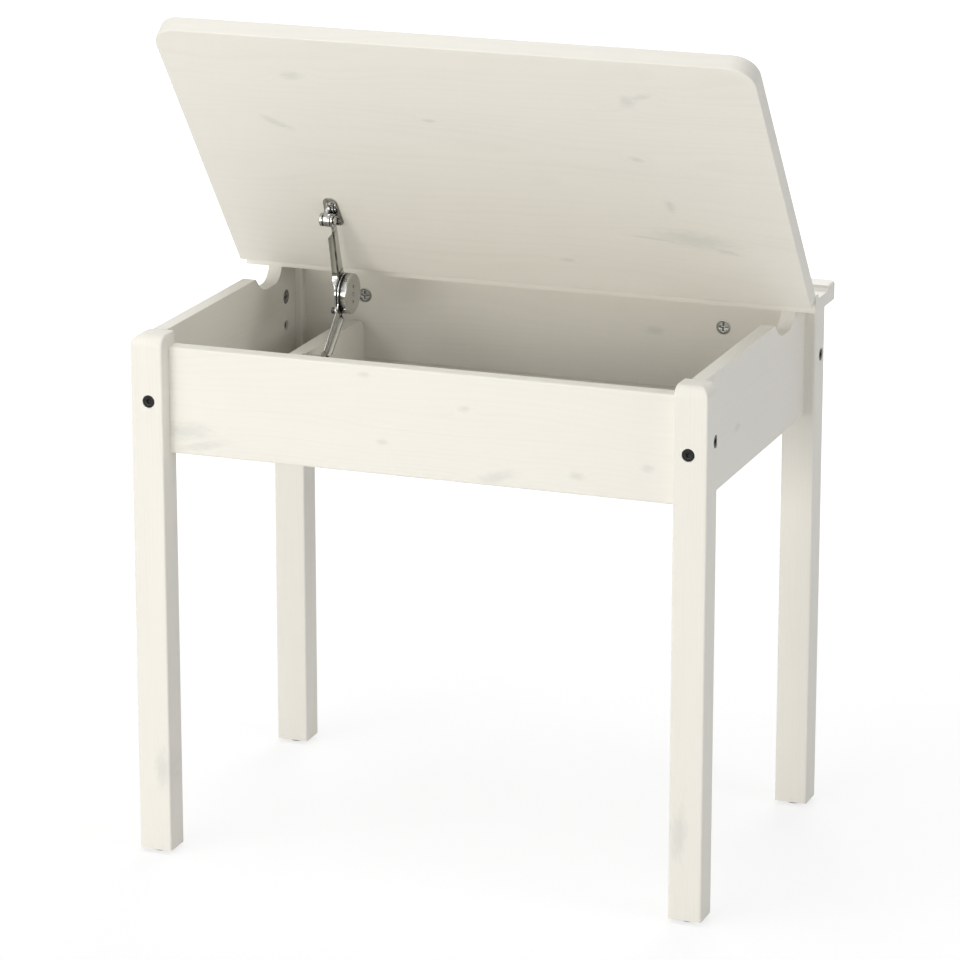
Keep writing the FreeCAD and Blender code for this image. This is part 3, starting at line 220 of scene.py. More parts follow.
def rounded(corners, size, steps):
    """A closed outline in the plane, anticlockwise, with an arc of one size at each corner."""
    corners = np.asarray(corners, float)
    way_in = corners - np.roll(corners, 1, 0)
    way_in /= np.linalg.norm(way_in, axis=1, keepdims=True)
    return corner_arcs(corners, np.full(len(corners), size), way_in, np.roll(way_in, -1, 0), steps).reshape(-1, 2)


def turned(profile, count, outline=None):
    """Rings of a turned surface: (r cos a, r sin a, h), with r and h from the profile's rows.

    A row's third number says how far its ring takes an outline, a factor of the angle, instead of a circle.
    """
    profile = np.asarray(profile, float)
    angle = np.linspace(0, 2 * math.pi, count, endpoint=False)
    radius = np.repeat(profile[:, :1], count, 1)
    if outline is not None:
        radius = radius * (1 + profile[:, 2:3] * (outline(angle)[None] - 1))
    height = np.repeat(profile[:, 1:2], count, 1)
    return np.stack([radius * np.cos(angle), radius * np.sin(angle), height], -1)


def arc(radius, height, size, start, stop, steps=5):
    """Profile rows along a quarter circle of a size about (radius, height), between two angles in degrees."""
    angle = np.radians(np.linspace(start, stop, steps))
    return np.stack([radius + size * np.cos(angle), height + size * np.sin(angle)], -1).tolist()


def hexagon(angle):
    """Outline of a hexagon whose corners reach 1: cos 30 / cos of the angle from a side's middle."""
    return math.cos(math.pi / 6) / np.cos((angle % (math.pi / 3)) - math.pi / 6)


def cross_outline(wide):
    """Outline of a cross whose arms reach 1.

    It is the farther of two bars, each min(1 / |cos|, wide / |sin|) along its arm.
    """
    def outline(angle):
        run = np.maximum(np.abs(np.cos(angle)), TINY)
        rise = np.maximum(np.abs(np.sin(angle)), TINY)
        return np.maximum(np.minimum(1 / run, wide / rise), np.minimum(wide / run, 1 / rise))
    return outline


def slab(outline, thickness, edge, steps=4):
    """Rings of a flat plate: its outline at the back, carried up and over a rounded front edge.

    The edge moves in along the outline's normals by edge * (1 - cos a) while it rises by edge * sin a.
    """
    ahead = np.roll(outline, -1, 0) - np.roll(outline, 1, 0)
    normal = np.stack([ahead[:, 1], -ahead[:, 0]], -1) / np.linalg.norm(ahead, axis=1, keepdims=True)
    angle = np.linspace(0, math.pi / 2, steps)
    inset = np.concatenate([[0], edge * (1 - np.cos(angle))])
    height = np.concatenate([[0], thickness - edge + edge * np.sin(angle)])
    flat = outline[None] - normal[None] * inset[:, None, None]
    return np.concatenate([flat, np.broadcast_to(height[:, None, None], flat.shape[:2] + (1,))], -1)


def skin(rings):
    """Vertices and faces of a closed shell: quads between the rings and a fan to the middle of each end ring."""
    count, around = rings.shape[:2]
    here = np.arange(around)
    there = (here + 1) % around
    row = np.arange(count - 1)[:, None] * around
    quads = np.stack([row + here, row + there, row + around + there, row + around + here], -1).reshape(-1, 4)
    first = np.stack([np.full(around, count * around), there, here], -1)
    top = (count - 1) * around
    last = np.stack([np.full(around, count * around + 1), top + here, top + there], -1)
    points = np.concatenate([rings.reshape(-1, 3), rings[:1].mean(1), rings[-1:].mean(1)])
    return points, quads.tolist() + first.tolist() + last.tolist()


def aimed(rings, spot, way):
    """Rings drawn about +Z, set at a spot with their axis pointing one way, and upright in the plane across it."""
    way = np.asarray(way, float)
    way = way / np.linalg.norm(way)
    side = np.cross(Z if abs(way[2]) < 0.9 else X, way)
    side /= np.linalg.norm(side)
    return np.asarray(spot) + rings @ np.array([side, np.cross(way, side), way])


def on_lid(rings):
    """Rings drawn from the hinge axis with the lid closed, turned up with the open lid."""
    return HINGE + rings @ LID_AXES


def turning(before, after):
    """The angle between two steps on a grid, 0 where one of them has no length."""
    size = np.linalg.norm(before, axis=-1) * np.linalg.norm(after, axis=-1)
    least = TINY ** 2
    cosine = (before * after).sum(-1) / np.maximum(size, least)
    return np.where(size > least, np.arccos(np.clip(cosine, -1, 1)), 0)


def worn(rings):
    """How sharply a shell turns at each point: 0 on its flats, 1 on its arrises and in its creases, where wear and
    painted dark reflections and shade go.

    It is the larger angle between the grid's steps along and around, eased, and 0 at the two end points.
    """
    step = np.diff(rings, axis=0)
    along = np.pad(turning(step[:-1], step[1:]), ((1, 1), (0, 0)))
    step = np.roll(rings, -1, 1) - rings
    around = turning(np.roll(step, 1, 1), step)
    sharp = np.clip((np.degrees(np.maximum(along, around)) - ARRIS_FROM) / (ARRIS_FULL - ARRIS_FROM), 0, 1)
    return np.append((sharp * sharp * (3 - 2 * sharp)).ravel(), [0, 0])


def piece(name, shells, material, body, slot, *nodes):
    """One object of closed shells that rides on a body and stands for CAD nodes.

    A shell is its rings, or a pair of them and a mask of painted shade in its hollows, which gets the same colour as
    its arrises.
    """
    points, faces, shade_and_wear_mask, start = [], [], [], 0
    for shell in shells:
        rings, dirt_and_shade = shell if isinstance(shell, tuple) else (shell, np.zeros(shell.shape[:2]))
        part, sides = skin(rings)
        points.append(part)
        # the mask of arrises and creases for wear and painted shade, with the painted shade of its hollows
        shade_and_wear_mask.append(np.maximum(worn(rings), np.append(dirt_and_shade.ravel(), dirt_and_shade.ravel()[[0, -1]])))
        faces.extend([[corner + start for corner in side] for side in sides])
        start += len(part)
    mesh = bpy.data.meshes.new(name)
    mesh.from_pydata(np.concatenate(points), [], faces)
    arris = mesh.attributes.new("arris", "FLOAT", "POINT")
    arris.data.foreach_set("value", np.concatenate(shade_and_wear_mask).astype(np.float32))
    mesh.shade_smooth()
    mesh.set_sharp_from_angle(angle=SHARP)
    mesh.materials.append(material)
    if mesh.validate():
        raise RuntimeError(f"{name} has broken faces")
    thing = put(name, mesh)
    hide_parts(*nodes)
    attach(thing, body)


# ---- shader nodes

def wire(tree, node, inputs):
    """Links a node's inputs to sockets, or sets them to values."""
    for key, value in inputs.items():
        if isinstance(value, NodeSocket):
            tree.links.new(value, node.inputs[key])
        else:
            node.inputs[key].default_value = value


def add(tree, kind, inputs=None, **settings):
    """A shader node of a kind, with its settings and inputs."""
    made = tree.nodes.new("ShaderNode" + kind)
    for key, value in settings.items():
        setattr(made, key, value)
    wire(tree, made, inputs or {})
    return made


def calc(tree, operation, *values):
    """One step of arithmetic."""
    return add(tree, "Math", dict(enumerate(values)), operation=operation).outputs[0]


def arithmetic(tree):
    """Functions that add, subtract, multiply and divide in a tree."""
    return [partial(calc, tree, operation) for operation in ("ADD", "SUBTRACT", "MULTIPLY", "DIVIDE")]


def swing(tree, value, size):
    """A value from 0 to 1 turned into one from -size / 2 to size / 2."""
    return calc(tree, "MULTIPLY_ADD", value, size, -size / 2)


def ease(tree, value, low, high, start=0.0, stop=1.0):
    """Smooth step from start to stop while the value goes from low to high."""
    return add(tree, "MapRange", {0: value, 1: low, 2: high, 3: start, 4: stop},
               interpolation_type="SMOOTHSTEP").outputs[0]


def blend(tree, amount, first, second):
    return add(tree, "Mix", {0: amount, 6: first, 7: second}, data_type="RGBA").outputs[2]


def noise(tree, vector, scale, detail, rough=0.5):
    inputs = {"Vector": vector, "Scale": scale, "Detail": detail, "Roughness": rough}
    return add(tree, "TexNoise", inputs).outputs[0]


def streaks(tree, vector, scales, detail, rough=0.5):
    """Noise with a scale of its own along each axis."""
    scaled = add(tree, "VectorMath", {0: vector, 1: scales}, operation="MULTIPLY").outputs[0]
    return noise(tree, scaled, 1.0, detail, rough)


def group(name, inputs, outputs):
    """A node group with named sockets of each kind: its tree, its input sockets by name, and its output node."""
    tree = bpy.data.node_groups.new(name, "ShaderNodeTree")
    for way, sockets in (("INPUT", inputs), ("OUTPUT", outputs)):
        for kind, labels in sockets.items():
            for label in labels:
                tree.interface.new_socket(name=label, in_out=way, socket_type=kind)
    entry = tree.nodes.new("NodeGroupInput")
    leave = tree.nodes.new("NodeGroupOutput")
    given = {socket.name.lower().replace(" ", "_"): socket for socket in entry.outputs}
    return tree, SimpleNamespace(**given), leave


def knot_group(name):
    """A knot under the stain: a soft oval smudge with a streaky rim, and a push that bends the rings round it.

    With q the distance from its middle in units of its two radii, the smudge fades from q 0.1 to 1.4 and the
    push is a bell, exp(-q * q / 3).
    """
    tree, given, leave = group(name, {VECTOR: ["Vector"], FLOAT: ["Along", "Across", "Long", "Wide", "Turn"]},
                               {FLOAT: ["Core", "Push"]})
    plus, minus, times, over = arithmetic(tree)
    x, y, _ = add(tree, "SeparateXYZ", {0: given.vector}).outputs
    run = minus(x, given.along)
    rise = minus(y, given.across)
    cosine = calc(tree, "COSINE", given.turn)
    sine = calc(tree, "SINE", given.turn)
    long_way = plus(times(run, cosine), times(rise, sine))
    wide_way = minus(times(rise, cosine), times(run, sine))
    square = plus(calc(tree, "POWER", over(long_way, given.long), 2.0),
                  calc(tree, "POWER", over(wide_way, given.wide), 2.0))
    ragged = streaks(tree, given.vector, (110.0, 300.0, 300.0), 4.0, 0.6)
    far = plus(calc(tree, "SQRT", square), swing(tree, ragged, 1.5))
    wire(tree, leave, {"Core": ease(tree, far, 1.4, 0.1), "Push": calc(tree, "EXPONENT", times(square, -0.3333))})
    return tree


def pine_group(name):
    """Stained pine: growth rings about a log's axis along X, glued from staves, with fibres along the grain.

    The ring number is the distance from the axis over the ring width, with a slow wobble and the knots' push added.
    Its fraction darkens towards the late wood and drops back. Each stave has an axis and a stretch of its own.
    """
    tree, given, leave = group(name, {
        VECTOR: ["Vector"], COLOUR: ["Stain", "Ring tint", "Knot tint"],
        FLOAT: ["Core", "Push", "Ring show", "Knot show", "Rough", "Stave", "Depth", "Ring width", "Seed"]}, SURFACE)
    plus, minus, times, over = arithmetic(tree)
    x, y, z = add(tree, "SeparateXYZ", {0: given.vector}).outputs
    # the stave, and three draws for its axis
    index = calc(tree, "FLOOR", over(y, given.stave))
    mark = plus(index, given.seed)
    chance = add(tree, "TexWhiteNoise", {"W": mark}, noise_dimensions="1D").outputs["Color"]
    aside, deep, leaning = add(tree, "SeparateXYZ", {0: chance}).outputs
    middle = times(plus(index, 0.5), given.stave)
    off = times(minus(aside, 0.5), given.stave)
    across = minus(minus(y, middle), off)
    down = plus(z, times(given.depth, plus(deep, 0.5)))
    apart = 3.17  # metres along the log between the staves' stretches
    own = add(tree, "CombineXYZ", {0: plus(x, times(mark, apart)), 1: y, 2: z}).outputs[0]
    # metres from the axis, with wobble, lean and push
    wobble = streaks(tree, own, (2.6, 9.0, 9.0), 2.0)
    lean = times(x, swing(tree, leaning, 0.05))
    radius = calc(tree, "SQRT", plus(calc(tree, "POWER", across, 2.0), calc(tree, "POWER", down, 2.0)))
    radius = plus(radius, swing(tree, wobble, 0.036))
    radius = plus(plus(radius, lean), times(given.push, 0.010))
    # the rings, each with a strength of its own
    turn = over(radius, given.ring_width)
    part = calc(tree, "FRACT", turn)
    late = times(ease(tree, part, 0.25, 0.86), ease(tree, part, 0.90, 1.0, 1.0, 0.0))
    year = add(tree, "TexWhiteNoise", {"W": plus(calc(tree, "FLOOR", turn), mark)}, noise_dimensions="1D")
    late = times(late, calc(tree, "MULTIPLY_ADD", year.outputs["Value"], 0.8, 0.3))
    fibre = streaks(tree, own, (9.0, 620.0, 620.0), 3.0, 0.62)
    patch = streaks(tree, own, (5.0, 22.0, 22.0), 3.0)
    show = times(times(late, given.ring_show), ease(tree, patch, 0.25, 0.75, 0.35, 1.25))
    wood = blend(tree, show, given.stain, given.ring_tint)
    # pores and clouds in the stain
    for texture, low, high in ((fibre, 0.50, 0.78), (patch, 0.42, 0.75)):
        wood = blend(tree, times(ease(tree, texture, low, high), 0.07), wood, given.ring_tint)
    wood = blend(tree, times(given.core, given.knot_show), wood, given.knot_tint)
    matt = plus(plus(given.rough, swing(tree, fibre, 0.16)), times(late, -0.05))
    raised = plus(times(fibre, 0.55), times(late, 0.45))
    raised = calc(tree, "MULTIPLY_ADD", given.core, -0.3, raised)
    wire(tree, leave, {"Color": wood, "Roughness": matt, "Height": raised})
    return tree


def worked_group(name):
    """Worked metal or moulded plastic: drawn lines one way, small pits, slow patches of tarnish, and arrises and
    creases in a colour of their own, lighter as rubbed wear and darker as painted dark reflections and shade.
    """
    tree, given, leave = group(name, {
        VECTOR: ["Vector"], COLOUR: ["Colour", "Tarnish", "Worn"],
        FLOAT: ["Amount", "Rough", "Spread", "Along", "Across", "Arris"]}, SURFACE)
    plus, minus, times, _ = arithmetic(tree)
    scales = add(tree, "CombineXYZ", {0: given.along, 1: given.across, 2: given.across})
    lines = streaks(tree, given.vector, scales.outputs[0], 2.0)
    patch = noise(tree, given.vector, 95.0, 4.0)
    pits = noise(tree, given.vector, 1500.0, 1.0)
    dull = times(ease(tree, patch, 0.45, 0.75), given.amount)
    plain = blend(tree, dull, given.colour, given.tarnish)
    # the colour of arrises and creases, in patches: rubbed wear where it is lighter, painted dark reflections and
    # shade where it is darker
    edge_wear_and_shade = times(given.arris, ease(tree, patch, 0.3, 0.6, 0.6, 0.95))
    uneven = plus(minus(lines, 0.5), minus(patch, 0.5))
    wire(tree, leave, {"Color": blend(tree, edge_wear_and_shade, plain, given.worn),
                       "Roughness": calc(tree, "MULTIPLY_ADD", uneven, given.spread, given.rough),
                       "Height": plus(times(lines, 0.6), times(pits, 0.4))})
    return tree


def shared(name):
    """The node group of a name, built once."""
    build = {"Knot": knot_group, "Stained pine": pine_group, "Worked surface": worked_group}[name]
    return bpy.data.node_groups.get(name) or build(name)


def bare(name):
    """A new material with its shader: the material, its tree, its shader node and the object's coordinates."""
    material = bpy.data.materials.new(name)
    material.use_nodes = True
    tree = material.node_tree
    return material, tree, tree.nodes["Principled BSDF"], add(tree, "TexCoord").outputs["Object"]


def coat(tree, shader, made, relief, strength, gloss, metal=0.0):
    """Feeds a shader from a group's colour, roughness and height, and sets its constants."""
    bump = add(tree, "Bump", {"Height": made.outputs["Height"], "Distance": relief, "Strength": strength})
    wire(tree, shader, {"Base Color": made.outputs["Color"], "Roughness": made.outputs["Roughness"],
                        "Normal": bump.outputs[0], "Specular IOR Level": gloss, "Metallic": metal})


def faded(tint, factor):
    return [value * factor for value in tint]


def opaque(tint):
    return (tint[0], tint[1], tint[2], 1.0)


def pine(name, axes, middle, knots, stave, depth, ring, seed, tone=1.0):
    """Stained pine for one board, whose axes are along its grain, across its face and out of it, from its middle.

    Knots are (along, across, long, wide, turn in degrees) on the face, in millimetres. In metres are the width of a
    stave, the depth of the log's axis and the width of a ring.
    """
    wood = bpy.context.scene.desk_wood
    material, tree, shader, place = bare(name)
    turn = Matrix(axes.tolist()).to_euler()
    start = -(axes @ np.asarray(middle))
    face = add(tree, "Mapping", {"Vector": place, "Rotation": turn, "Location": start}).outputs[0]
    core, push = 0.0, 0.0
    for along, across, long, wide, angle in knots:
        knot = add(tree, "Group", {
            "Vector": face, "Along": along * MM, "Across": across * MM, "Long": long * MM, "Wide": wide * MM,
            "Turn": math.radians(angle)}, node_tree=shared("Knot"))
        core = knot.outputs[0] if core == 0.0 else calc(tree, "MAXIMUM", core, knot.outputs[0])
        push = knot.outputs[1] if push == 0.0 else calc(tree, "ADD", push, knot.outputs[1])
    grain = add(tree, "Group", {
        "Vector": face, "Core": core, "Push": push, "Stain": opaque(faded(wood.stain, tone)),
        "Ring tint": opaque(faded(wood.ring_tint, tone)), "Knot tint": opaque(wood.knot_tint),
        "Ring show": wood.ring_show, "Knot show": wood.knot_show, "Rough": wood.sheen, "Stave": stave, "Depth": depth,
        "Ring width": ring, "Seed": seed}, node_tree=shared("Stained pine"))
    coat(tree, shader, grain, 0.25 * MM, 0.35, 0.35)
    return material


def worked(name, tint, tarnish, edge_wear_and_shade, amount, rough, spread, metal, along=60.0, across=1800.0, gloss=0.5):
    """A metal or plastic finish, with its colour where it is tarnished and on its arrises and creases, where a lighter
    colour is rubbed wear and a darker one painted dark reflections and shade.
    """
    material, tree, shader, place = bare(name)
    arris = add(tree, "Attribute", attribute_name="arris").outputs["Fac"]
    made = add(tree, "Group", {
        "Vector": place, "Arris": arris, "Colour": opaque(tint), "Tarnish": opaque(tarnish), "Worn": opaque(edge_wear_and_shade),
        "Amount": amount, "Rough": rough, "Spread": spread, "Along": along, "Across": across},
        node_tree=shared("Worked surface"))
    coat(tree, shader, made, 0.05 * MM, 0.06, gloss, metal)
    return material


def finish(kind):
    """The named finish of the hardware, made once."""
    if kind in bpy.data.materials:
        return bpy.data.materials[kind]
    metal = bpy.context.scene.desk_metal
    nickel, zinc, oxide = metal.nickel, metal.zinc, metal.oxide
    dull, dirt_and_shade, scuffed = faded(zinc, 0.28), faded(metal.plastic, 0.6), (0.11, 0.11, 0.11)
    # colours when plain, tarnished and on arrises and creases (a lighter one is rubbed wear, a darker one painted dark
    # reflections and shade); tarnish, roughness, its spread, metal; lines along and across; gloss
    return worked(kind, *{
        # nickel plate and dull zinc: painted dark reflections and shade on arrises and creases
        "nickel plate": (nickel, faded(nickel, 0.75), metal.edge_wear_and_shade, 0.3, 0.16, 0.06, 1.0),
        "zinc plate": (zinc, faded(zinc, 0.65), faded(zinc, 0.3), 0.5, 0.40, 0.2, 1.0, 300.0, 900.0),
        "dull zinc": (dull, faded(dull, 0.6), metal.edge_wear_and_shade, 0.6, 0.55, 0.2, 1.0, 300.0, 900.0),
        "black oxide": (oxide, faded(oxide, 2), faded(oxide, 3), 0.3, 0.42, 0.2, 0.0, 400.0, 400.0, 0.16),
        "glide plastic": (metal.plastic, dirt_and_shade, dirt_and_shade, 0.5, 0.5, 0.2, 0.0, 500.0, 500.0),
        "friction plastic": (metal.friction, scuffed, scuffed, 0.4, 0.5, 0.2, 0.0, 700.0, 700.0),
    }[kind])


def paint(node, material):
    """Puts a material on a CAD node."""
    for slot in NODES[node].material_slots:
        slot.material = material


def plated(name, shells, body, node):
    """A nickel-plated piece that stands for a CAD node."""
    piece(name, shells, finish("nickel plate"), body, "nickel_plate", node)


# ---- operators

class DESK_OT_boards(Operator):
    """Stained pine on the lid, the rail, the panels, the legs, the divider and the bottom board"""
    bl_idname = "desk.boards"
    bl_label = "Stain the boards"

    def execute(self, context):
        level = np.array([X, Y, Z])
        cross = np.array([X, Z, -Y])
        side = np.array([Y, Z, X])
        upright = np.array([Z, X, Y])
        lid_knots = [
            (-168, -290, 12, 6, -8), (-203, -220, 18, 5, 30), (-40, -239, 8, 3, 0), (169, -288, 9, 8, -25),
            (183, -295, 12, 4, -20), (162, -205, 8, 4, 16), (183, -140, 5, 9, 0), (200, -92, 40, 12, 6),
            (158, -89, 34, 1.6, 6), (228, -78, 16, 4, 12), (60, -45, 8, 3, 0)]
        rail_knots = [(-120, 12, 9, 4, 0), (205, -10, 8, 5, 0)]
        front_knots = [
            (-55, 33, 7, 3, 0), (-238, -40, 28, 10, 4), (-222, -53, 26, 5, 12), (-37, -31, 6, 3, 0),
            (78, -54, 21, 6, 15), (157, -45, 8, 4, 0), (45, 9, 6, 3, 0), (227, -31, 7, 4, 0)]
        back_knots = [(120, 10, 10, 5, 0)]
        side_knots = [(-60, -12, 9, 4, 0)]
        leg_knots = {"front_left": [(88, 9.5, 22, 8, 0)], "front_right": [(89, -6.5, 28, 8, 3)]}
        boards = [
            ("desk_lid", "lid pine", LID_AXES, HINGE, lid_knots, 0.0855, 0.075, 0.0052, 3.0),
            ("pen_rail", "rail pine", level, (0, 0.15, 0.53), rail_knots, 0.2, 0.05, 0.0046, 11.0),
            ("front_panel", "front panel pine", cross, (0, -0.173, 0.469), front_knots, 0.3, 0.07, 0.0048, 22.0),
            ("back_panel", "back panel pine", cross, (0, 0.1685, 0.469), back_knots, 0.3, 0.06, 0.0045, 33.0),
            ("left_side_panel", "left side pine", side, (-0.2635, 0, 0.466), side_knots, 0.3, 0.06, 0.0044, 41.0),
            ("right_side_panel", "right side pine", side, (0.2635, 0, 0.466), side_knots, 0.3, 0.06, 0.0044, 47.0),
            ("stay_divider", "divider pine", side, (-0.192, 0, 0.44), [], 0.3, 0.05, 0.0042, 53.0)]
        for index, corner in enumerate(CORNERS):
            boards.append((corner + "_leg", corner.replace("_", " ") + " leg pine", upright,
                           centre(*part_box(corner + "_leg")) * (X + Y), leg_knots.get(corner, []), 0.2, 0.045, 0.0038,
                           61.0 + index * 7))
        boards.append(("bottom_panel", "bottom board", level, (0, 0, 0.423), [], 0.4, 0.08, 0.006, 91.0))
        for node, *wood in boards:
            paint(node, pine(*wood))
        return {"FINISHED"}


class DESK_OT_bolts(Operator):
    """Black socket-head bolts in the legs, each a turned head with a hexagon socket on its shank"""
    bl_idname = "desk.bolts"
    bl_label = "Make the bolts"

    def execute(self, context):
        size = context.scene.desk_hardware
        top, head, shank, socket = size.bolt_height, size.bolt_head, size.bolt_shank, size.socket
        edge, nick = 0.9 * MM, 0.2 * MM
        low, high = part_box("side_panel_bolts")
        spots = {"side_panel_bolts": [((sx * (high.x - head), sy * high.y, (low.z + high.z) / 2), (0, sy, 0))
                                      for sx in SIDES for sy in SIDES]}
        low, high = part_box("cross_panel_bolts")
        spots["cross_panel_bolts"] = [((sx * high.x, y, (low.z + high.z) / 2), (sx, 0, 0))
                                      for sx in SIDES for y in (low.y + head, high.y - head)]
        for node, places in spots.items():
            tip = top - BOLT_LENGTH[node]
            bottom = top - size.socket_depth
            profile = [[shank - 0.4 * MM, tip, 0], [shank, tip + 0.6 * MM, 0], [shank, 0, 0], [head - nick, 0, 0],
                       [head, nick, 0]]
            profile += [row + [0] for row in arc(head - edge, top - edge, edge, 0, 90)]
            profile += [[socket * 1.18, top, 1], [socket, top - 0.25 * MM, 1], [socket, bottom, 1],
                        [socket * 0.3, bottom - 0.4 * MM, 1]]
            rings = turned(profile, 60, hexagon)
            rings[..., 2] -= top
            shells = [aimed(rings, spot, way) for spot, way in places]
            piece(node.replace("bolts", "socket_bolts"), shells, finish("black oxide"), "desk_frame", "black_steel",
                  node)
        return {"FINISHED"}


class DESK_OT_cam_locks(Operator):
    """Cam locks in the inner faces of the back and side panels, with a cross recess in a dished face"""
    bl_idname = "desk.cam_locks"
    bl_label = "Make the cam locks"

    def execute(self, context):
        size = context.scene.desk_hardware
        radius, depth, cross = size.cam, size.cam_depth, size.cross
        low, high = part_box("rail_cams")
        level = (low.z + high.z) / 2
        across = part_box("back_panel")[1].x - CAM_INSET
        spots = [((sx * (high.x - depth), low.y + radius, level), (-sx, 0, 0)) for sx in SIDES]
        spots += [((sx * across, high.y - depth, level), (0, -1, 0)) for sx in SIDES]
        edge, nick, dish = 0.5 * MM, 0.12 * MM, 0.35 * MM
        profile = [[radius - edge, -depth, 0], [radius, -depth + edge, 0], [radius, -edge, 0],
                   [radius - nick, -nick, 0], [radius - edge, 0, 0], [radius - 1.3 * MM, 0, 0],
                   [radius - 1.6 * MM, -dish, 0], [cross * 1.08, -dish, 0.6], [cross, -0.45 * MM, 1],
                   [cross * 0.9, -2.6 * MM, 1], [cross * 0.3, -3.2 * MM, 1]]
        rings = turned(profile, 96, cross_outline(size.cross_width / cross))
        piece("cross_cam_locks", [aimed(rings, spot, way) for spot, way in spots], finish("zinc plate"), "desk_frame",
              "zinc_steel", "rail_cams")
        return {"FINISHED"}


class DESK_OT_glides(Operator):
    """Turned glides under the legs, with a rounded foot and a nail into the wood"""
    bl_idname = "desk.glides"
    bl_label = "Make the glides"

    def execute(self, context):
        edge, nick, nail = 1.5 * MM, 0.3 * MM, 2 * MM
        for corner in CORNERS:
            low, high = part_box(corner + "_glide")
            radius = (high.x - low.x) / 2
            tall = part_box(corner + "_leg")[0].z
            profile = [[radius - edge - edge, 0]] + arc(radius - edge, edge, edge, -90, 0, 7)
            profile += [[radius, tall - nick], [radius - nick, tall], [nail, tall], [nail, high.z - nail],
                        [nick, high.z]]
            rings = turned(profile, 56) + centre(low, high) * (X + Y)
            piece(corner + "_turned_glide", [rings], finish("glide plastic"), "desk_frame", "dark_plastic",
                  corner + "_glide")
        return {"FINISHED"}


class DESK_OT_hidden_fasteners(Operator):
    """Finishes of the barrel nuts, the dowels, the cam dowels and the hinges"""
    bl_idname = "desk.hidden_fasteners"
    bl_label = "Finish the hinges and inner fasteners"

    def execute(self, context):
        paint("barrel_nuts", finish("dull zinc"))
        hinges = [f"{side}_{part}" for side in ("left", "right") for part in ("rail_leaf", "lid_leaf", "hinge_pin")]
        for node in hinges + ["rail_leaf_screws", "lid_leaf_screws", "rail_cam_dowels"]:
            paint(node, finish("zinc plate"))
        paint("panel_dowels", pine("dowel wood", np.eye(3), (0, 0, 0.45), [], 0.05, 0.02, 0.002, 97.0, 0.8))
        return {"FINISHED"}


def pan_screw(size, spot, way):
    """A pan-head screw: domed head with a cross recess, its seat at the spot, pointing away from the wood."""
    head, tall, shank = size.screw_head, size.screw_height, size.screw_shank
    profile = [[0.2 * MM, -SCREW_REACH, 0], [shank, -SCREW_REACH + 3 * MM, 0], [shank, 0, 0],
               [head - 0.2 * MM, 0, 0], [head, 0.25 * MM, 0]]
    # the dome and the recess, as shares of the head's radius and height, and of the cross in the outline
    profile += [[head * wide, tall * high, cross] for wide, high, cross in (
        (1, 0.42, 0), (0.96, 0.66, 0), (0.86, 0.84, 0), (0.72, 0.95, 0), (0.60, 1, 0.25), (0.52, 0.99, 1),
        (0.46, 0.5, 1), (0.14, 0.28, 1))]
    return aimed(turned(profile, 96, cross_outline(0.26)), spot, way)


def pivot_pin(low, high, spot):
    """A pivot pin along +X, as long as its CAD node's box, with its shank's end at the spot and a domed head.

    The dome is (r cos a ^ 0.6, rise * sin a), a from 10 to 84 degrees.
    """
    total = high.x - low.x
    seat = total - PIN_HEAD_HEIGHT
    brim = 0.5 * MM
    profile = [[PIN_SHANK - 0.4 * MM, 0], [PIN_SHANK, 0.4 * MM], [PIN_SHANK, seat], [PIN_HEAD - 0.2 * MM, seat],
               [PIN_HEAD, seat + 0.25 * MM]]
    angle = np.radians(np.linspace(10, 84, 8))
    rise = total - seat - brim
    profile += np.stack([PIN_HEAD * np.cos(angle) ** 0.6, seat + brim + rise * np.sin(angle)], -1).tolist()
    return aimed(turned(profile, 48), spot, X)


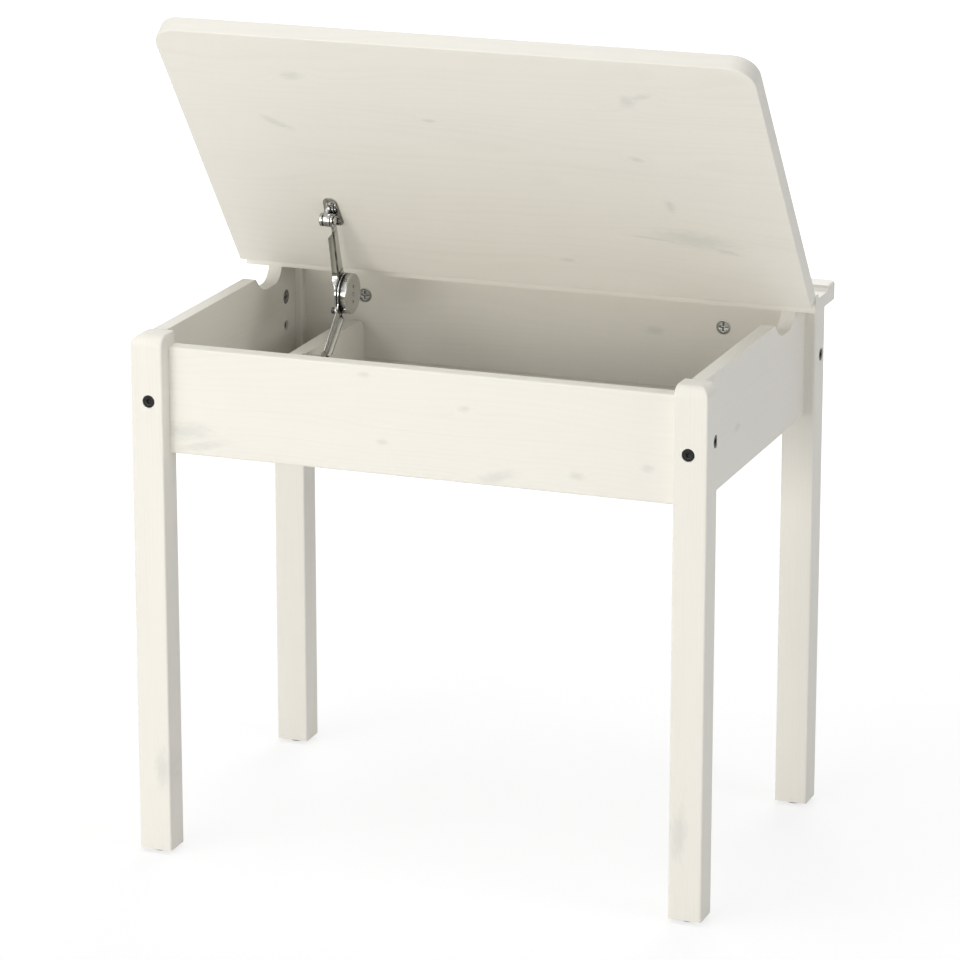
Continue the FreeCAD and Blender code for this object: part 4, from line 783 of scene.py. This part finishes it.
class DESK_OT_stay_brackets(Operator):
    """The stay's lid bracket with its barrel, the foot bracket, their screws and pivot pins"""
    bl_idname = "desk.stay_brackets"
    bl_label = "Make the stay's brackets"

    def execute(self, context):
        stay = context.scene.desk_stay
        size = context.scene.desk_hardware
        pivot = LID_AXES @ (LID_PIVOT - HINGE)
        upper_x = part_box("stay_upper_arm")[1].x - stay.plate
        end = upper_x - 0.3 * MM  # the barrel's right end, clear of the arm
        under = pivot[2] + PIVOT_DROP
        # the plate: a rounded outline, wider at its rear end, with its face away from the lid
        bracket_low, bracket_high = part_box("stay_lid_bracket")
        right = bracket_high.x
        front, rear = pivot[1] - PLATE_FRONT, pivot[1] + PLATE_REAR
        corners = [(right, -front), (right - PLATE_FRONT_WIDTH, -front), (bracket_low.x, -rear), (right, -rear)]
        plate = slab(rounded(corners, 6.3 * MM, 8), stay.bracket_plate, 0.7 * MM)
        hung = np.array([X, -Y, -Z])
        plate = on_lid(plate @ hung + Z * under)
        # the cheek between the plate and the barrel, from half way into the plate
        boss, short = stay.boss, 3 * MM
        left_x, right_x = end - stay.barrel + short, end - short
        near, far = -pivot[1] - boss, -pivot[1] + boss
        ring = rounded([(right_x, near), (right_x, far), (left_x, far), (left_x, near)], 0.8 * MM, 4)
        sunk = stay.bracket_plate / 2
        cheek = on_lid(slab(ring, PIVOT_DROP - sunk, 0.4 * MM) @ hung + Z * (under - sunk))
        # the barrel: a recess round the pin's end, a collar, a groove and a plain length
        edge, bead = 0.8 * MM, 0.35 * MM
        collar, groove = stay.collar, stay.collar + stay.groove
        profile = [[1 * MM, 0.5 * MM], [3.2 * MM, 0.5 * MM], [3.4 * MM, 0]] + arc(boss - edge, edge, edge, -90, 0)
        profile += arc(boss - bead, collar - bead, bead, 0, 90, 4) + [[boss - stay.groove_depth, collar]]
        profile += [[boss - stay.groove_depth, groove]] + arc(boss - bead, groove + bead, bead, -90, 0, 4)
        profile += arc(boss - edge, stay.barrel - edge, edge, 0, 90) + [[boss - edge - 0.5 * MM, stay.barrel]]
        start = on_lid(np.array([end - stay.barrel, pivot[1], pivot[2]]))
        barrel = aimed(turned(profile, 64), start, X)
        plated("barrel_bracket", [plate, cheek, barrel], "lid", "stay_lid_bracket")
        # the screws, one ahead of the pivot and one behind it
        seat = under - stay.bracket_plate
        middle = upper_x - 0.8 * MM
        shells = [pan_screw(size, on_lid(np.array([x, y, seat])), -LID_AXES[2])
                  for x, y in ((middle, pivot[1] - 13.6 * MM), (middle + 2 * MM, pivot[1] + 11 * MM))]
        plated("lid_pan_screws", shells, "lid", "stay_lid_screws")
        plated("domed_lid_pin", [pivot_pin(*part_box("stay_lid_pin"), start)], "lid", "stay_lid_pin")
        # the foot, on the divider
        paint("stay_foot_bracket", finish("nickel plate"))
        low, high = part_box("stay_foot_screws")
        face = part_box("stay_divider")[1].x + stay.bracket_plate
        shells = [pan_screw(size, (face, y, (low.z + high.z) / 2), X)
                  for y in (low.y + size.screw_head, high.y - size.screw_head)]
        plated("foot_pan_screws", shells, "desk_frame", "stay_foot_screws")
        low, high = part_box("stay_foot_pin")
        pin = pivot_pin(low, high, (low.x, FOOT_PIVOT[1], FOOT_PIVOT[2]))
        plated("domed_foot_pin", [pin], "desk_frame", "stay_foot_pin")
        return {"FINISHED"}


def smooth_max(first, second, room):
    """The larger of two numbers, with the change from one to the other eased over about the room."""
    return (first + second + np.sqrt((first - second) ** 2 + room ** 2)) / 2


def circle(run, middle, radius):
    """Half width of a circle along a run: the root of radius ** 2 - (run - middle) ** 2, and 0 outside it."""
    return np.sqrt(np.maximum(radius ** 2 - (run - middle) ** 2, 0))


def pressed_arm(stay, arm, thickness, edge, pivot, elbow, x, to_right):
    """Rings of a stay arm pressed from sheet, from its pivot to its elbow disc, with its sheet to the right of x.

    Its half width is the larger of the eye's circle, a strip that widens evenly, and the disc's circle, with the eye
    eased into the strip and a hollow arc, tangent to strip and disc, where it flares into the disc. The section is a
    flat bar, and between the flange's ends an L whose leg stands on the bar's lower edge.
    """
    eye, flange, start, stop = (getattr(stay, f"{arm}_{part}") for part in ("eye", "flange", "start", "end"))
    disc, flare = stay.disc, stay.flare
    reach = float(np.linalg.norm(elbow - pivot))
    way = (elbow - pivot) / reach
    run = np.concatenate([-eye * np.cos(np.linspace(0, math.pi, 40)[:20] * 1.026),
                          np.linspace(eye * 0.1, reach - disc * 0.8, 80),
                          reach - disc * np.cos(np.linspace(0.34, math.pi, 60))])
    run = np.unique(np.round(np.clip(run, -eye + TINY, reach + disc - TINY), 7))
    ring_eye, ring_disc = circle(run, 0, eye), circle(run, reach, disc)
    along = np.clip(run / reach, 0, 1)
    strip = (stay.neck + (stay.shoulder - stay.neck) * along) / 2
    edge_line = stay.shoulder / 2 + flare
    hollow = reach - math.sqrt((disc + flare) ** 2 - edge_line ** 2)
    meet = reach - (reach - hollow) * disc / (disc + flare)
    arch = edge_line - circle(run, hollow, flare)
    half = smooth_max(strip, ring_eye, 3 * MM)
    half = np.where(run < hollow, half, np.where(run < meet, np.maximum(arch, strip), ring_disc))
    half = np.where(run < 0, ring_eye, np.where(run > reach, ring_disc, np.minimum(half, disc)))
    half = np.maximum(half, 0.02 * MM)
    rise = np.clip(np.minimum(run - start, stop - run) / stay.flange_taper, 0, 1)
    leg = flange * rise * rise * (3 - 2 * rise)
    # the section's corners, across and through the sheet, and the roundings that they have room for
    zero = np.zeros_like(half)
    full = zero + thickness
    wall = np.minimum(thickness, half * 0.9)
    small = np.minimum(edge, half * 0.45)
    bend = np.minimum(np.minimum(stay.bend, (thickness + leg) * 0.5), half * 0.8)
    bend = np.where(leg > TINY, bend, small)
    inner = np.minimum(0.5 * MM, leg * 0.4)
    tip = np.minimum(edge, np.minimum(leg * 0.45, wall * 0.45))
    outer_tip = np.maximum(tip, small * (leg < TINY))
    spots = [(half, zero), (half, full), (wall - half, full), (wall - half, full + leg), (-half, full + leg),
             (-half, zero)]
    radii = [small, small, inner, tip, outer_tip, bend]
    if not to_right:
        spots = [(across, full - through) for across, through in spots[1::-1] + spots[:1:-1]]
        radii = radii[1::-1] + radii[:1:-1]
    corner = np.stack([np.stack(spot, -1) for spot in spots], 1)
    tallest = corner[leg.argmax()]
    way_in = np.sign(tallest - np.roll(tallest, 1, 0))
    arcs = corner_arcs(corner, np.stack(radii, 1), way_in, np.roll(way_in, -1, 0), 5).reshape(len(run), -1, 2)
    rings = np.stack([arcs[..., 1], np.repeat(run[:, None], arcs.shape[1], 1), arcs[..., 0]], -1)
    return pivot + X * x + rings @ np.array([X, way, np.cross(X, way)])


def button(radius, thickness, edge):
    """Profile of a flat disc about +Z with rounded edges."""
    flat = radius - edge - 0.3 * MM
    return [[flat, 0]] + arc(radius - edge, edge, edge, -90, 0, 4) + arc(
        radius - edge, thickness - edge, edge, 0, 90, 4) + [[flat, thickness]]


class DESK_OT_stay_arms(Operator):
    """The stay's two pressed arms with their bent edges and elbow discs, and the stop stud"""
    bl_idname = "desk.stay_arms"
    bl_label = "Make the stay's arms"

    def execute(self, context):
        stay = context.scene.desk_stay
        edge = context.scene.desk_hardware.edge
        elbow = centre(*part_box("stay_housing")) * YZ
        upper_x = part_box("stay_upper_arm")[1].x - stay.plate
        lower_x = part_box("stay_lower_arm")[0].x
        upper = pressed_arm(stay, "upper", stay.plate, edge, LID_PIVOT * YZ, elbow, upper_x, False)
        lower = pressed_arm(stay, "lower", stay.lower_plate, edge, FOOT_PIVOT * YZ, elbow, lower_x, True)
        # the lug that carries the stud stands a little shy of the upper arm's faces
        stud_low, stud_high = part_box("stay_stop_stud")
        stud = centre(stud_low, stud_high) * YZ + X * upper_x
        shy = 0.05 * MM
        lug = aimed(turned(button(5.2 * MM, stay.plate - 2 * shy, edge), 48), stud + X * shy, X)
        plated("pressed_upper_arm", [upper, lug], "stay_upper", "stay_upper_arm")
        tall, bead = upper_x - stud_low.x, 0.8 * MM
        profile = [[2.9 * MM, 0], [3.2 * MM, 0.2 * MM]] + arc(2.4 * MM, tall - bead, bead, 0, 90) + [[1.2 * MM, tall]]
        piece("turned_stop_stud", [aimed(turned(profile, 40), stud, -X)], finish("dull zinc"), "stay_upper",
              "nickel_plate", "stay_stop_stud")
        plated("pressed_lower_arm", [lower], "stay_lower", "stay_lower_arm")
        return {"FINISHED"}


class DESK_OT_stay_elbow(Operator):
    """The friction elbow: a turned housing with three dimples, and the washer, spacer and rivet behind it"""
    bl_idname = "desk.stay_elbow"
    bl_label = "Make the stay's elbow"

    def execute(self, context):
        low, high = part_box("stay_housing")
        radius, tall = (high.z - low.z) / 2, high.x - low.x
        edge, nick = 1.5 * MM, 0.4 * MM
        profile = [[radius - 1.4 * MM, 0], [radius - nick, 0], [radius, nick]]
        profile += arc(radius - edge, tall - edge, edge, 0, 90, 9)
        profile += [[value, tall] for value in np.linspace(radius - edge - nick, 0.2 * MM, 56)]
        rings = turned(profile, 144)
        # the dimples: round holes of a radius and a depth, depth * (1 - (d / radius) ** 6) within it, with painted
        # shade in them
        depth, apart = 1.4 * MM, 7.7 * MM
        on_face = rings[..., 2] > tall - 0.01 * MM
        dirt_and_shade = np.zeros(rings.shape[:2])
        for level, wide in ((0, 2.0 * MM), (apart, 1.4 * MM), (-apart, 1.4 * MM)):
            far = np.hypot(rings[..., 0], rings[..., 1] - level) / wide
            hollow = np.where(on_face, np.maximum(1 - far ** 6, 0), 0)
            rings[..., 2] -= depth * hollow
            # painted shade in the dimples, drawn in the plating's dark arris colour
            dirt_and_shade = np.maximum(dirt_and_shade, np.minimum(2.5 * hollow, 1))
        spot = centre(low, high) * YZ + X * low.x
        plated("turned_housing", [(aimed(rings, spot, X), dirt_and_shade)], "stay_lower", "stay_housing")
        for node in ("stay_friction_washer", "stay_spacer"):
            paint(node, finish("friction plastic"))
        paint("stay_elbow_rivet", finish("zinc plate"))
        return {"FINISHED"}


class DESK_OT_stage(Operator):
    """A pale floor, soft light from all round and the camera"""
    bl_idname = "desk.stage"
    bl_label = "Set the stage"

    def execute(self, context):
        scene = context.scene
        stage = scene.desk_stage
        level = math.cos(stage.elevation)
        back = Vector((math.sin(stage.azimuth) * level, -math.cos(stage.azimuth) * level, math.sin(stage.elevation)))
        camera = put("camera", bpy.data.cameras.new("camera"))
        camera.data.lens, camera.data.sensor_width, camera.data.clip_end = stage.lens, 36, 60
        camera.location = Vector(stage.target) + back * stage.distance
        camera.rotation_euler = back.to_track_quat("Z", "Y").to_euler()
        scene.camera = camera
        lit = Vector((0, 0, 0.45))  # what the lamps point at
        white, warm = (1.0, 1.0, 1.0), (1.0, 0.98, 0.94)
        for name, spot, wide, tall, tint in (
                ("key", (-1.0, -3.55, 0.75), 2.8, 1.4, warm), ("high", (-2.4, -2.6, 2.6), 1.8, 1.8, white),
                ("top", (-0.6, -0.4, 3.4), 2.4, 2.4, white), ("right", (2.7, -0.6, 1.3), 1.4, 1.4, white),
                ("back", (-0.4, 3.2, 2.6), 2.8, 1.6, white)):
            lamp = bpy.data.lights.new(name, "AREA")
            lamp.shape, lamp.size, lamp.size_y = "ELLIPSE", wide, tall
            lamp.energy, lamp.color = getattr(stage, name), tint
            thing = put(name, lamp)
            thing.location = spot
            thing.rotation_euler = (Vector(spot) - lit).to_track_quat("Z", "Y").to_euler()
        self.surround(scene, stage)
        self.lay_floor(stage)
        scene.view_settings.view_transform = "Standard"
        return {"FINISHED"}

    def cleared(self, data):
        """The empty node tree of a world or a material."""
        data.use_nodes = True
        data.node_tree.nodes.clear()
        return data.node_tree

    def shown(self, tree, unseen, seen):
        """One shader for the light that falls on the desk, and another for what the camera sees, also in metal."""
        path = add(tree, "LightPath")
        both = calc(tree, "MAXIMUM", path.outputs["Is Camera Ray"], path.outputs["Is Glossy Ray"])
        direct = calc(tree, "MAXIMUM", both, path.outputs["Is Transmission Ray"])
        return add(tree, "MixShader", {0: direct, 1: unseen.outputs[0], 2: seen.outputs[0]}).outputs[0]

    def surround(self, scene, stage):
        """Soft light from all round, before which the camera sees white."""
        world = bpy.data.worlds.new("studio")
        scene.world = world
        tree = self.cleared(world)
        soft = add(tree, "Background", {"Color": (0.985, 0.99, 1.0, 1), "Strength": stage.sky})
        white = add(tree, "Background", {"Color": (1, 1, 1, 1), "Strength": 1.0})
        out = add(tree, "OutputWorld", {0: self.shown(tree, soft, white)})
        out.is_active_output = True

    def lay_floor(self, stage):
        """A flat grid that is plain to the light, and to the camera a faint shade on a glow that rises to white."""
        reach, cells = 9, 12
        run = np.linspace(-reach, reach, cells + 1)
        across, along = np.meshgrid(run, run)
        points = np.stack([across, along, np.zeros_like(across)], -1).reshape(-1, 3)
        here = (np.arange(cells)[:, None] * len(run) + np.arange(cells)).ravel()
        faces = np.stack([here, here + 1, here + len(run) + 1, here + len(run)], -1)
        mesh = bpy.data.meshes.new("floor")
        mesh.from_pydata(points, [], faces.tolist())
        material = bpy.data.materials.new("pale floor")
        tree = self.cleared(material)
        plain = add(tree, "BsdfDiffuse", {"Color": opaque(stage.floor)})
        shade = add(tree, "BsdfDiffuse", {"Color": (0.28, 0.28, 0.28, 1)})
        place = add(tree, "TexCoord").outputs["Object"]
        far = add(tree, "VectorMath", {0: place}, operation="LENGTH").outputs["Value"]
        strength = ease(tree, far, 0.5, 2.2, 0.74, 1.0)
        glow = add(tree, "Emission", {"Color": (1, 1, 1, 1), "Strength": strength})
        bright = add(tree, "AddShader", {0: shade.outputs[0], 1: glow.outputs[0]})
        add(tree, "OutputMaterial", {0: self.shown(tree, plain, bright)})
        mesh.materials.append(material)
        floor = put("floor", mesh)


STEPS = (DESK_OT_boards, DESK_OT_bolts, DESK_OT_cam_locks, DESK_OT_glides, DESK_OT_hidden_fasteners,
         DESK_OT_stay_brackets, DESK_OT_stay_arms, DESK_OT_stay_elbow, DESK_OT_stage)
SETTINGS = {"desk_wood": DeskWood, "desk_metal": DeskMetal, "desk_hardware": DeskHardware, "desk_stay": DeskStay,
            "desk_stage": DeskStage}


class DESK_PT_finish(Panel):
    """The desk's steps and what they can change"""
    bl_idname = "DESK_PT_finish"
    bl_label = "Kids Desk"
    bl_space_type = "VIEW_3D"
    bl_region_type = "UI"
    bl_category = "Desk"

    def draw(self, context):
        for step in STEPS:
            self.layout.operator(step.bl_idname)
        for name, settings in SETTINGS.items():
            box = self.layout.box()
            box.label(text=settings.__doc__)
            for field in settings.__annotations__:
                box.prop(getattr(context.scene, name), field)


def register():
    for name, settings in SETTINGS.items():
        bpy.utils.register_class(settings)
        setattr(Scene, name, PointerProperty(type=settings))
    for kind in STEPS + (DESK_PT_finish,):
        bpy.utils.register_class(kind)


def unregister():
    for kind in reversed(STEPS + (DESK_PT_finish,)):
        bpy.utils.unregister_class(kind)
    for name, settings in SETTINGS.items():
        delattr(Scene, name)
        bpy.utils.unregister_class(settings)


def main():
    register()
    bpy.ops.desk.boards()
    bpy.ops.desk.bolts()
    bpy.ops.desk.cam_locks()
    bpy.ops.desk.glides()
    bpy.ops.desk.hidden_fasteners()
    bpy.ops.desk.stay_brackets()
    bpy.ops.desk.stay_arms()
    bpy.ops.desk.stay_elbow()
    bpy.ops.desk.stage()


if __name__ == "__main__":
    main()
